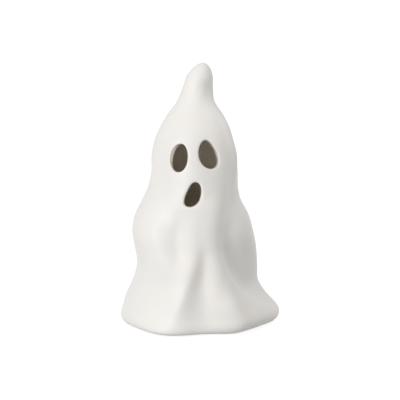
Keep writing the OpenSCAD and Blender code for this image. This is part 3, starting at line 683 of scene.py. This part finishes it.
# A smooth curve through points: cubics whose slopes are those between each one's neighbours
def curveThrough(points, steps):
    p = np.array(points, float)
    slope = np.empty_like(p)
    slope[1:-1] = (p[2:] - p[:-2]) / 2
    slope[0], slope[-1] = (p[1] - p[0]) / 2, (p[-1] - p[-2]) / 2
    t = np.linspace(0, 1, steps + 1)[:-1, None]
    spans = cubic(p[:-1, None], p[1:, None], slope[:-1, None], slope[1:, None], t)
    return np.concatenate([spans.reshape(-1, 3), p[-1:]])


# Quarter-circle corners between straight runs of a profile, each (radius, height, rounding)
def rounded(corners, steps=5):
    c = np.array(corners, float)
    out = [c[:1, :2]]
    for before, at, after in zip(c[:-2], c[1:-1], c[2:]):
        if at[2] == 0:
            out.append(at[None, :2])
            continue
        a, b = [unit(end[:2] - at[:2]) * at[2] for end in (before, after)]
        t = np.linspace(0, 1, steps + 1)[:, None]
        out.append(at[:2] + a * (1 - t) ** 2 + b * t ** 2)
    out.append(c[-1:, :2])
    return np.concatenate(out)


# The same shape lying along +X from its place, instead of standing up
def laid(made, place):
    points, faces = made
    return points[:, [2, 0, 1]] + np.array(place), faces


# Several shapes as one
def together(*shapes):
    counts = np.cumsum([0] + [len(p) for p, _ in shapes])
    return (np.concatenate([p for p, _ in shapes]),
            np.concatenate([f + n for n, (_, f) in zip(counts, shapes)]))


# Gives a finish to solids that are shown as they are
def dress(name, *nodes):
    for node in nodes:
        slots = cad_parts[node].material_slots
        if not slots:
            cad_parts[node].data.materials.append(finishes[name])
        for s in slots:
            s.material = finishes[name]


# Finishes of the light unit. Patterns are sized in millimetres, except the grain of the board
# and of the chip and the specks of the resistor, which are counts across a metre.

# Two close colours in soft patches, with a fine grain in the surface
def grainFinish(name, colour, other, patchSize, grainSize, roughness, depth, d):
    f = Finish(name)
    patches = f.noise(1000 / patchSize, 3, 0.55).within(0.3, 0.7)
    grain = f.noise(1000 / grainSize, d.get("detail", 3), 0.6)
    f.skin(
        Base_Color=f.mix(patches, colour, other),
        Roughness=roughness + d.get("spread", 0.15) * (grain - 0.5),
        Normal=f.bump(grain, depth, d.get("strength", 0.6)), **d.get("shader", {}))


# Pressed felt: short crossing fibres, drawn out along two ways, in lighter and darker flecks
def feltFinish(d):
    f = Finish("grey_felt")
    one, two = [f.noise(1000 / d["fibre"], 4, 0.7, way) for way in d["ways"]]
    fibres = one.maths("MAXIMUM", two)
    fleck = f.noise(1000 / d["fleck"], 3, 0.6).within(0.4, 0.75)
    colour = f.mix(fleck, f.mix(fibres.within(0.4, 0.75), d["dark"], d["colour"]), d["light"])
    f.skin(Base_Color=colour, Roughness=0.9 + 0.08 * fibres,
           Normal=f.bump(fibres + 0.4 * fleck, 0.25, 0.9), **d["shader"])


# Metal drawn or turned: fine lines along one way, or rings about a line along X, with dull spots
def metalFinish(name, colour, dull, spotSize, roughness, depth, grainSize, stretch, rings):
    f = Finish(name)
    if stretch:
        lines = f.noise(1000 / grainSize, 4, 0.6, stretch)
    else:
        y, z = rings["centre"]
        off = ((f.along("Y") - y) ** 2 + (f.along("Z") - z) ** 2) ** 0.5
        line = f.node("CombineXYZ", sockets={
            0: off * rings["lines"], 1: f.along("X") * rings["bands"]})
        lines = f.node("TexNoise", sockets={"Vector": line, "Scale": 1.0, "Detail": 3})
    spots = f.noise(1000 / spotSize, 4, 0.6).within(0.45, 0.75)
    f.skin(
        Base_Color=f.mix(spots, colour, dull), Metallic=1 - 0.12 * spots,
        Roughness=roughness + 0.14 * (lines - 0.5) + 0.16 * spots,
        Normal=f.bump(lines, depth, 0.5))


# Solder mask over copper: tracks show as slightly lighter, raised bands, and the pads are bare
# and tinned
def boardFinish(d):
    f = Finish("board_green")
    x, y, z = [f.along(axis) for axis in "XYZ"]
    one, two = [
        f.node("TexWave", {"wave_type": "BANDS", "bands_direction": axis},
               {0: f.place(), 1: 1000 / d["weave"], 2: 0.4}, 1) for axis in "XY"]
    weave = one * two
    tracks = x * 0
    for left, right, front, back in d["tracks"]:
        across = x.maths("COMPARE", (left + right) / 2, (right - left) / 2)
        ahead = y.maths("COMPARE", (front + back) / 2, (back - front) / 2)
        tracks = tracks.maths("MAXIMUM", across * ahead)
    pads = x * 0
    for px, py, size in d["pads"]:
        far = ((x - px) ** 2 + (y - py) ** 2) ** 0.5
        pads = pads.maths("MAXIMUM", far.maths("LESS_THAN", size))
    faces = (z - d["middle"]).maths("ABSOLUTE").maths("GREATER_THAN", d["thick"] / 2 - 0.02)
    pads, tracks = pads * faces, tracks * faces
    grain = f.noise(d["grain"], 3)
    mask = f.mix(tracks, f.mix(0.35 * weave, d["mask"], d["under"]), d["copper"])
    edge = f.mix(faces, d["laminate"], mask)
    f.skin(
        Base_Color=f.mix(pads, edge, d["tin"]), Metallic=pads,
        Roughness=0.34 + 0.12 * grain, Coat_Weight=0.4 * faces,
        Normal=f.bump(tracks + 0.25 * weave, 0.06, 0.8))


# Bands of lacquer round the resistor, at distances from its middle
def resistorFinish(d):
    f = Finish("resistor_tan")
    x = f.along("X")
    speck = f.noise(d["specks"], 4, 0.7)
    colour = f.mix(speck.within(0.4, 0.7), d["colour"], d["other"])
    for offset, band in d["bands"]:
        here = x.maths("COMPARE", d["middle"] + offset, d["band"] / 2)
        colour = f.mix(here, colour, band)
    f.skin(Base_Color=colour, Roughness=0.28 + 0.2 * speck, Coat_Weight=0.3 + 0.1 * speck,
           Normal=f.bump(speck, 0.03, 0.4))


# The chip: moulded black body over tinned legs, told apart by how far out they are
def chipFinish(d):
    f = Finish("chip_black")
    legs = (f.along("Y") - d["middle"]).maths("ABSOLUTE").maths("GREATER_THAN", d["half"])
    grain = f.noise(d["grain"], 3, 0.7)
    body = f.mix(grain, d["colour"], d["other"])
    f.skin(Base_Color=f.mix(legs, body, d["tin"]), Metallic=legs,
           Roughness=0.62 - 0.3 * legs + 0.15 * (grain - 0.5), Normal=f.bump(grain, 0.03, 0.5))


# Sheets of brown paper pressed with resin: thin flat layers with dark fibres
def phenolicFinish(d):
    f = Finish("phenolic_brown")
    layers = f.noise(1000 / d["layer"], 3, 0.6, (0.05, 0.05, 1))
    fibres = f.noise(1000 / d["fibre"], 4, 0.7, (1, 6, 1)).within(0.5, 0.8)
    colour = f.mix(fibres, f.mix(layers.within(0.35, 0.65), d["colour"], d["other"]), d["dark"])
    f.skin(Base_Color=colour, Roughness=0.5 + 0.15 * fibres, Normal=f.bump(layers, 0.03, 0.5))


moulded = {
    # colour, other colour, sizes of the patches and of the grain, roughness, depth of the
    # grain, and what differs from the usual
    "white_plastic": ((0.86, 0.86, 0.84), (0.835, 0.83, 0.805), 26, 0.35, 0.5, 0.03,
                      {"strength": 0.5}),
    "black_plastic": ((0.05, 0.05, 0.05), (0.075, 0.075, 0.078), 2.5, 0.3, 0.46, 0.03, {}),
    "silicone": ((0.85, 0.85, 0.84), (0.78, 0.785, 0.78), 5, 1.4, 0.34, 0.12, {
        "detail": 2, "shader": {
            "Subsurface_Weight": 0.3, "Subsurface_Radius": (0.003, 0.003, 0.003),
            "Coat_Weight": 0.25}}),
    "frosted_plastic": ((0.92, 0.91, 0.87), (0.885, 0.875, 0.83), 7, 0.22, 0.62, 0.02, {
        "shader": {"Transmission_Weight": 0.35, "IOR": 1.49}}),
    "led_epoxy": ((0.94, 0.90, 0.74), (0.93, 0.875, 0.68), 1.6, 0.8, 0.08, 0.01, {
        "spread": 0.05, "strength": 0.3, "shader": {"Transmission_Weight": 0.9, "IOR": 1.54}}),
    "led_phosphor": ((0.90, 0.68, 0.16), (0.86, 0.60, 0.10), 0.7, 0.12, 0.7, 0.02, {}),
    "cell_seal": ((0.10, 0.10, 0.11), (0.14, 0.14, 0.15), 1.2, 0.3, 0.5, 0.02, {}),
}
sleeves = {
    "red_wire": ((0.62, 0.05, 0.04), (0.55, 0.035, 0.03)),
    "white_wire": ((0.85, 0.85, 0.83), (0.80, 0.80, 0.77)),
    "black_wire": ((0.04, 0.04, 0.04), (0.06, 0.06, 0.062)),
}
sleeveSurface = (1.8, 0.5, 0.3, 0.015, {"shader": {"Coat_Weight": 0.2}})  # the rest, as above
metals = {
    # colour, colour of the dull spots and their size, roughness, depth of the grain, its size
    # and how it is drawn out
    "zinc_screws": ((0.66, 0.66, 0.65), (0.54, 0.54, 0.53), 1.2, 0.3, 0.02, 0.4, (1, 1, 0.2)),
    "spring_steel": ((0.60, 0.60, 0.60), (0.48, 0.48, 0.48), 1.6, 0.24, 0.01, 0.2, (1, 0.3, 0.3)),
    "tinned_lead": ((0.70, 0.70, 0.70), (0.62, 0.62, 0.61), 0.8, 0.26, 0.03, 0.5, (1, 1, 0.3)),
    "contact_brass": ((0.78, 0.66, 0.36), (0.62, 0.50, 0.26), 2.4, 0.3, 0.015, 0.3, (1, 1, 0.15)),
    "switch_steel": ((0.68, 0.68, 0.67), (0.58, 0.58, 0.57), 2.2, 0.28, 0.015, 0.4, (0.15, 1, 1)),
    "cell_steel": ((0.72, 0.71, 0.69), (0.64, 0.63, 0.61), 3, 0.2, 0.01, None, None),
}
# Rings turned on the cells: how many in a millimetre out from the line, how much they change
# along it, and where it lies across X
cellRings = {"lines": 16, "bands": 0.3, "centre": (-6.5, 9.7)}
felt = {
    "colour": (0.62, 0.61, 0.60), "dark": (0.50, 0.49, 0.48), "light": (0.70, 0.69, 0.67),
    "fibre": 0.35, "fleck": 0.9, "ways": ((1, 5, 2), (5, 1, 3)),
    "shader": {"Sheen_Weight": 0.35, "Sheen_Roughness": 0.6, "Specular_IOR_Level": 0.2}}
phenolic = {
    "colour": (0.36, 0.20, 0.10), "other": (0.30, 0.16, 0.08), "dark": (0.20, 0.10, 0.05),
    "layer": 0.12, "fibre": 0.5}
greenBoard = {
    "mask": (0.06, 0.26, 0.13), "under": (0.075, 0.30, 0.15), "copper": (0.09, 0.36, 0.17),
    "laminate": (0.45, 0.43, 0.28), "tin": (0.70, 0.70, 0.69), "weave": 0.9,
    "grain": 1200, "middle": 18.8, "thick": 1.2,
    # left, right, front and back edge of each track, and place and size of each pad: two of
    # the diode's, two of the resistor's and two of the wires'
    "tracks": [(-8.6, -7.9, -9, 2), (-8.6, -1.2, 1.5, 2.2), (-1.6, -0.9, -5, 2.2),
               (-3.2, -1, -5.2, -4.5), (0.9, 1.6, -4, 6), (1, 3.4, 5.6, 6.4),
               (4.8, 8.4, -3.2, -2.4), (7.9, 8.6, -9.6, -2.6), (-3, 0, -9.9, -9.2),
               (-9, -5.5, -10.8, -10)],
    "pads": [(-1.27, 0, 0.62), (1.27, 0, 0.62), (-0.25, -9.5, 0.6), (8.25, -9.5, 0.6),
             (3, 6.1, 0.95), (8, -2.8, 0.95)],
}
resistorCoat = {
    "colour": (0.72, 0.58, 0.38), "other": (0.66, 0.52, 0.33), "specks": 1700, "middle": 4,
    "band": 0.5,
    "bands": [(-1.7, (0.22, 0.09, 0.04)), (-0.8, (0.02, 0.02, 0.02)), (0.1, (0.55, 0.05, 0.03)),
              (1.7, (0.55, 0.40, 0.10))],
}
chipBody = {
    "colour": (0.05, 0.05, 0.05), "other": (0.075, 0.075, 0.08), "tin": (0.7, 0.7, 0.7),
    "grain": 3200, "middle": -7.5, "half": 2.0}

for name, values in moulded.items():
    grainFinish(name, *values)
for name, colours in sleeves.items():
    grainFinish(name, *colours, *sleeveSurface)
for name, values in metals.items():
    metalFinish(name, *values, cellRings)
feltFinish(felt)
phenolicFinish(phenolic)
boardFinish(greenBoard)
resistorFinish(resistorCoat)
chipFinish(chipBody)
dress("white_plastic", "light_cup", "base_plate", "battery_door")
dress("zinc_screws", "plate_screws", "door_screw_1", "door_screw_2", "board_screws",
      "switch_screws")
dress("contact_brass", "positive_contact", "negative_contact", "switch_terminals", "switch_wiper")
dress("tinned_lead", "led_leads")
dress("board_green", "circuit_board")
dress("chip_black", "controller_chip")
dress("switch_steel", "switch_case")
dress("phenolic_brown", "switch_wafer")
dress("black_plastic", "switch_slider")
print("solids dressed")

# Felt feet: soft-edged discs, a little ragged round their cut side

feltFoot = {
    "radius": 3.78, "thick": 1, "edge": 0.3, "out": 34.36, "turns": (42, 138, 222, 300),
    "sides": 96, "dishes": (0.03, 0.02), "ragged": 0.012}


# A disc with rounded edges, whose faces dip a little halfway out and whose radius wavers as
# three sines of the angle
def makeFoot(d, turn):
    r, t, e = d["radius"], d["thick"], d["edge"]
    profile = rounded([(0, 0, 0), (r, 0, e), (r, t, e), (0, t, 0)], 6)
    under, over = d["dishes"]
    profile = np.concatenate([profile[:1], [[r / 2, under]], profile[1:-1],
                              [[r / 2, t - over]], profile[-1:]])
    spin = math.radians(turn)

    def ragged(a):
        return 1 - d["ragged"] * (0.5 + 0.3 * np.sin(7 * a + turn) + 0.2 * np.sin(23 * a)
                                  + 0.25 * np.sin(41 * a + 2 * turn))
    return turned(profile, d["sides"],
                  (d["out"] * math.cos(spin), d["out"] * math.sin(spin), 0), waver=ragged)


for number, turn in enumerate(feltFoot["turns"], 1):
    addPiece(f"felt_pad_{number}", makeFoot(feltFoot, turn), ["grey_felt"],
             f"felt_foot_{number}")

# Silicone bead: a squeezed ring whose sides bulge and waver, between the flange and the clay

bead = {"inner": 25.56, "outer": 27.96, "low": 4, "high": 5, "fill": 0.93, "sides": 256,
        "round": 24, "power": 0.35, "waver": 0.0035}


# The section is an ellipse whose sine and cosine are raised to a power, so that it is flat
# where it is pressed
def makeBead(d):
    p = 2 * np.pi * np.arange(d["round"]) / d["round"]
    middle, half = (d["outer"] + d["inner"]) / 2, (d["outer"] - d["inner"]) / 2
    up, tall = (d["high"] + d["low"]) / 2, (d["high"] - d["low"]) / 2
    c, s = np.cos(p), np.sin(p)
    across = np.sign(c) * abs(c) ** (2 * d["power"]) * half * d["fill"]
    rise = np.sign(s) * abs(s) ** d["power"] * tall
    profile = np.stack([middle + across, up + rise], -1)

    def waver(a):
        return 1 + d["waver"] * (0.5 * np.sin(5 * a) + 0.3 * np.sin(17 * a + 1)
                                 + 0.2 * np.sin(31 * a))
    return turned(profile, d["sides"], loop=True, waver=waver)


addPiece("silicone_ring", makeBead(bead), ["silicone"], "silicone_bead")

# Diffuser: a frosted dome on a straight wall with a turned-out rim

diffuser = {"radius": 8, "wall": 1, "rim": 1.5, "straight": 5, "base": 25, "sides": 128,
            "domeRows": 16, "footEdge": 0.2, "rimEdge": 0.3, "corner": 0.35}


# A quarter circle inside and another outside, joined by the straight wall and the rim
def makeDiffuser(d):
    r, w, base = d["radius"], d["wall"], d["base"]
    top = base + d["straight"]
    a = quarter(d["domeRows"] - 1)[1:-1]
    over = np.stack([np.cos(a), np.sin(a)], -1)
    innerDome = np.array([0, top]) + (r - w) * over
    outerDome = np.array([0, top]) + r * over
    edge, rim = d["footEdge"], r + d["rim"]
    wallLine = rounded([
        (r - w, top, 0), (r - w, base, edge), (rim, base, edge),
        (rim, base + w, d["rimEdge"]), (r, base + w, d["corner"]), (r, top, 0)])
    profile = np.concatenate([[[0, top + r - w]], innerDome[::-1], wallLine, outerDome,
                              [[0, top + r]]])
    return turned(profile, d["sides"])


addPiece("frosted_dome", makeDiffuser(diffuser), ["frosted_plastic"], "light_diffuser")

# Light-emitting diode: a clear domed lens, and inside it the cup, its anvil and the phosphor

led = {
    "z": 19.9, "radius": 2.5, "rim": 2.9, "rimTall": 1, "rimEdge": 0.15, "corner": 0.12,
    "tall": 8.6, "pitch": 2.54, "lead": 0.25, "bond": 0.03, "cup": 1.0, "cupLow": 22.6,
    "cupHigh": 23.9, "cupFloor": 0.45, "cupEdge": 0.1, "lipEdge": 0.05,
    "cupShares": (0.55, 0.85, 0.35),  # radii of its foot, inner lip and inner floor
    "drop": (0.7, 0.5, 0.55, 0.5),  # the phosphor's radius share, start, lower and upper part
    "sides": 72, "domeRows": 13, "dropRows": 9, "cupSides": 40}


# A rim and a straight side, closed by a quarter circle
def makeLens(d):
    z, r = d["z"], d["radius"]
    top = z + d["tall"] - r
    a = quarter(d["domeRows"])[1:-1]
    rim, over, edge = d["rim"], z + d["rimTall"], d["rimEdge"]
    side = rounded([(0, z, 0), (rim, z, edge), (rim, over, edge), (r, over, d["corner"]),
                    (r, top, 0)])
    dome = np.stack([r * np.cos(a), top + r * np.sin(a)], -1)
    return turned(np.concatenate([side, dome, [[0, z + d["tall"]]]]), d["sides"])


# A small dish, and three round wires on smooth curves: the post that carries it, the anvil
# beside it and the bond from the anvil into the dish
def makeLedFrame(d):
    half, low, high, r = d["pitch"] / 2, d["cupLow"], d["cupHigh"], d["cup"]
    start, floor, edge = d["z"] + 0.02, low + d["cupFloor"], d["cupEdge"]
    foot, lip, inner = d["cupShares"]
    cup = turned(rounded([(0, low, 0), (r * foot, low, edge), (r, high, d["lipEdge"]),
                          (r * lip, high, d["lipEdge"]), (r * inner, floor, edge),
                          (0, floor, 0)]), d["cupSides"])

    def bent(steps, radius, sides, *places):
        path = curveThrough([(x, 0, z) for x, z in places], steps)
        return carried(path, radius, sides, (0, 1, 0))

    post = bent(8, d["lead"], 16, (-half, start), (-half, 21.2), (-half * 0.7, 22),
                (-0.2, low + 0.1))
    anvil = bent(8, d["lead"], 16, (half, start), (half, 21.6), (half * 1.02, 22.8),
                 (half * 1.05, high))
    bond = bent(10, d["bond"], 8, (half, high - 0.1), (0.8, high + 0.5), (0.3, high + 0.3),
                (0.1, low + 0.8))
    return together(cup, post, anvil, bond)


# A drop in the dish: it widens in a straight line, and a quarter of an ellipse closes it
def makePhosphor(d):
    share, start, lower, upper = d["drop"]
    low, r = d["cupLow"] + start, d["cup"] * share
    a = quarter(d["dropRows"])[1:-1]
    dome = np.stack([r * np.cos(a), low + lower + upper * np.sin(a)], -1)
    return turned(np.concatenate([[[0, low], [r * 0.4, low], [r, low + lower]], dome,
                                  [[0, low + lower + upper]]]), d["cupSides"])


addPiece("clear_lens", makeLens(led), ["led_epoxy"], "led_lens")
addPiece("led_cup", makeLedFrame(led), ["tinned_lead"])
addPiece("led_phosphor", makePhosphor(led), ["led_phosphor"], slot="led_epoxy")

# Button cells: a drawn can with a rolled edge, a dark seal and a raised cap, lying along X

cell = {
    "radius": 5.8, "tall": 5.4, "cap": 4.5, "capTall": 0.9, "first": -10.25, "gap": 0.05,
    "y": -6.5, "z": 9.7, "sides": 96,
    "edges": (0.45, 0.5, 0.1),  # rounding of the can's foot, shoulder and rolled lip
    "capEdges": (0.05, 0.35),  # rounding at the foot and the top of the cap
    "groove": (0.55, 0.2, 0.15),  # out from the cap to its lip and its bottom, and its depth
    "seal": (0.2, 0.02, 0.5),  # the dark part: from under the shoulder, and how far off the cap
}


# Can, groove and cap are one turned profile, and a face of the dark seal is known by how far
# along and how far out its middle lies
def makeCell(d, number):
    r, t, cap = d["radius"], d["tall"], d["cap"]
    shoulder = t - d["capTall"]
    footEdge, edge, lipEdge = d["edges"]
    capFoot, capEdge = d["capEdges"]
    lip, bottom, deep = d["groove"]
    can = [(0, 0, 0), (r, 0, footEdge), (r, shoulder, edge), (cap + lip, shoulder, lipEdge)]
    seal = [(cap + bottom, shoulder - deep, 0)]
    lid = [(cap, shoulder + 0.02, capFoot), (cap, t, capEdge), (0, t, 0)]
    place = (d["first"] + number * (t + d["gap"]), d["y"], d["z"])
    made = laid(turned(rounded(can + seal + lid, 6), d["sides"]), place)
    centre = made[0][made[1]].mean(1)
    off = np.hypot(centre[:, 1] - d["y"], centre[:, 2] - d["z"])
    under, near, far = d["seal"]
    dark = (centre[:, 0] > place[0] + shoulder - under) & (off > cap + near) & (off < cap + far)
    return made, dark.astype(int)


for number in range(3):
    made, dark = makeCell(cell, number)
    addPiece(f"coin_cell_{number + 1}", made, ["cell_steel", "cell_seal"],
             f"button_cell_{number + 1}", kinds=dark)

# Battery spring: a helix that narrows towards the cells, with its first and last turn closed

spring = {"start": 9.9, "run": 3.4, "radius": 4, "taper": 0.35, "turns": 3.5, "wire": 0.3,
          "y": -6.5, "z": 9.7, "steps": 40, "sides": 16, "closed": 0.7, "easing": 0.25}


# A helix whose radius shrinks evenly. It doesn't advance in its closed turns, and between them
# its pitch eases in and out.
def makeSpring(d):
    t = np.linspace(0, 1, int(d["turns"] * d["steps"]) + 1)
    ends = d["closed"] / d["turns"]
    ease = np.clip((t - ends / 2) / (1 - ends), 0, 1)
    ease = (1 - d["easing"]) * ease + d["easing"] * ease * ease * (3 - 2 * ease)
    angle = 2 * np.pi * d["turns"] * t
    radius = d["radius"] * (1 - t * d["taper"])
    path = np.stack([d["start"] - d["run"] * ease, d["y"] + radius * np.cos(angle),
                     d["z"] + radius * np.sin(angle)], -1)
    return carried(path, d["wire"], d["sides"], (1, 0, 0))


addPiece("coil_spring", makeSpring(spring), ["spring_steel"], "negative_spring")

# Resistor: a body with swollen ends on leads that are bent down through the board

resistor = {"middle": (4, -9.5, 20.6), "length": 6, "radius": 1.1, "waist": 0.93, "pitch": 8.5,
            "lead": 0.25, "foot": 17.4, "bend": 0.8, "sides": 48, "leadSides": 14,
            # shares of the half length: where the swelling starts and how long it rises, and
            # the same for the rounding of the end, then how far that draws the end in
            "swell": (0.45, 0.2), "end": (0.8, 0.2), "drawn": 0.85}


# The radius along the body: full near its ends and drawn in to its waist between them
def makeResistor(d):
    x = np.linspace(0, d["length"], 49)[1:-1]
    off = abs(x / d["length"] - 0.5) * 2
    end, swell = [np.clip((off - start) / run, 0, 1) for start, run in (d["end"], d["swell"])]
    swell = swell * swell * (3 - 2 * swell)
    r = (d["waist"] + (d["radius"] - d["waist"]) * swell) * np.sqrt(1 - d["drawn"] * end ** 2)
    profile = np.concatenate([[[0, 0]], np.stack([r, x], -1), [[0, d["length"]]]])
    mx, my, mz = d["middle"]
    half, low, bend = d["pitch"] / 2, d["foot"], d["bend"]
    body = laid(turned(profile, d["sides"]), (mx - d["length"] / 2, my, mz))
    arm = [(half, low - mz), (half, low - mz + 1.2), (half, -bend), (half - 0.25, -0.22),
           (half - bend, 0)]
    route = [(mx - x, my, mz + z) for x, z in arm] + [(mx, my, mz)]
    route += [(mx + x, my, mz + z) for x, z in arm[::-1]]
    return body, carried(curveThrough(route, 8), d["lead"], d["leadSides"], (0, 1, 0))


resistorParts = makeResistor(resistor)
addPiece("banded_resistor", together(*resistorParts), ["resistor_tan", "tinned_lead"],
         "resistor", kinds=np.repeat([0, 1], [len(faces) for _, faces in resistorParts]))

# Wires: the routes of the solids, and a drop of solder on each pad that one of them reaches

wires = {
    "radius": 0.5, "sides": 20, "steps": 14,
    "red_wire": [(-10.75, -6.5, 18.4), (-12.35, -6.3, 18.6), (-13.25, -3.5, 17.4),
                 (-12.4, 4, 14.65), (-8, 10, 13.45), (-3.6, 13.4, 13.45), (-2, 14, 11.65)],
    "white_wire": [(0, 14, 11.65), (0, 13.4, 13.65), (1.6, 10.4, 16.85), (3, 9.3, 19.45),
                   (3, 7.5, 21.25), (3, 6.1, 19.45)],
    "black_wire": [(10.75, -6.5, 18.4), (12.25, -6.2, 19.4), (10.75, -4.6, 21.2),
                   (8.4, -3.2, 21.25), (8, -2.8, 19.45)],
    # a direction that each wire never takes
    "sideOf": {"red_wire": (0, 1, 2), "white_wire": (1, 0, 0), "black_wire": (0, 1, 0)},
}
solder = {"board": 19.4, "radius": 0.8, "tall": 0.75, "lead": 0.62, "leadTall": 0.55,
          "sides": 32}


# A round tube on a smooth curve through the route's points
def makeWire(d, name):
    path = curveThrough(d[name], d["steps"])
    return carried(path, d["radius"], d["sides"], d["sideOf"][name])


# A drop that spreads at its foot: its radius falls with its height as a quarter of an ellipse
# whose foot is drawn out
def makeDrop(radius, tall, place):
    t = np.linspace(0, 1, 12)[1:-1]
    profile = np.stack([radius * (1 - t) ** 0.7 * (0.82 + 0.18 * (1 - t) ** 3), tall * t], -1)
    profile = np.concatenate([[[0, 0], [radius, 0]], profile, [[0, tall]]])
    return turned(profile, solder["sides"], place)


for name in sleeves:
    addPiece(name + "_sleeve", makeWire(wires, name), [name], name)
leadPads, wirePads = greenBoard["pads"][2:4], greenBoard["pads"][4:]
wireDrops = [makeDrop(solder["radius"], solder["tall"], (x, y, solder["board"]))
             for x, y, _ in wirePads]
leadDrops = [makeDrop(solder["lead"], solder["leadTall"], (x, y, solder["board"]))
             for x, y, _ in leadPads]
addPiece("solder_drops", together(*wireDrops, *leadDrops), ["tinned_lead"])
print("small pieces made")

# Room: a pale floor and a pale surround, both white where the camera, glass and polish see
# them, and soft lamps

room = {
    "floor": 12,  # metres across
    "floorColour": (0.55, 0.55, 0.55),
    "cloudColour": (0.5335, 0.5335, 0.5335),
    "cloud": 1.4,  # clouds across a metre of it
    "shade": 0.3,  # how much of the floor's own light and shadow shows
    "glow": 0.88,  # white that is added to it where it is seen
    "surround": 0.60,  # strength of the light from all round, and its colour
    "surroundColour": (1, 0.985, 0.955),
}
lampSize, lampAway, lampAim = 1.2, 1.3, 0.08  # metres
lamps = {
    "low": {"turn": -50, "rise": 8, "power": 6.1},
    "front": {"turn": -30, "rise": 8, "power": 6},
    "right": {"turn": 90, "rise": 60, "power": 2.5},
}


# 1 where the camera, polish or glass looks at it, and 0 for the light that it gives the object
def seenRays(f):
    camera, glossy, through = [f.node("LightPath", out=i) for i in (0, 3, 6)]
    return camera.maths("MAXIMUM", glossy).maths("MAXIMUM", through)


# The floor and the surround, each plain for the light that it gives, and white where it is seen
def makeRoom(r):
    f = Finish("pale_floor")
    cloud = f.noise(r["cloud"], 2)
    plain = f.node("BsdfDiffuse", sockets={
        "Color": f.mix(cloud, r["floorColour"], r["cloudColour"])})
    shown = f.node("BsdfDiffuse", sockets={"Color": (r["shade"],) * 3 + (1,)})
    glow = f.node("Emission", sockets={"Strength": r["glow"]})
    lit = f.node("AddShader", sockets={0: shown, 1: glow})
    f.close(f.node("MixShader", sockets={0: seenRays(f), 1: plain, 2: lit}))
    corners = np.array([(-1, -1, 0), (1, -1, 0), (1, 1, 0), (-1, 1, 0)]) * r["floor"] / 2 / mm
    meshPiece("floor", corners, np.array([[0, 1, 2, 3]]), [f.owner])
    w = Finish("surround", world=True)
    around = w.node("Background", sockets={
        "Color": (*r["surroundColour"], 1), "Strength": r["surround"]})
    white = w.node("Background", sockets={"Color": (1, 1, 1, 1), "Strength": 1.0})
    w.close(w.node("MixShader", sockets={0: seenRays(w), 1: around, 2: white}))
    bpy.context.scene.world = w.owner


# A round soft lamp at a turn from the front and a rise over the floor, facing a point at a
# height over its middle
def makeLamp(name, l):
    turn, rise = math.radians(l["turn"]), math.radians(l["rise"])
    way = np.array([math.sin(turn) * math.cos(rise), -math.cos(turn) * math.cos(rise),
                    math.sin(rise)])
    data = bpy.data.lights.new(name, "AREA")
    data.shape, data.size, data.energy = "DISK", lampSize, l["power"]
    lamp = addObject(name, data)
    lamp.location = way * lampAway + np.array([0, 0, lampAim])
    lamp.rotation_euler = (math.pi / 2 - rise, 0, turn)


makeRoom(room)
for lampName, lamp in lamps.items():
    makeLamp(lampName, lamp)
bpy.context.scene.view_settings.view_transform = "Standard"
print("room and lamps made")
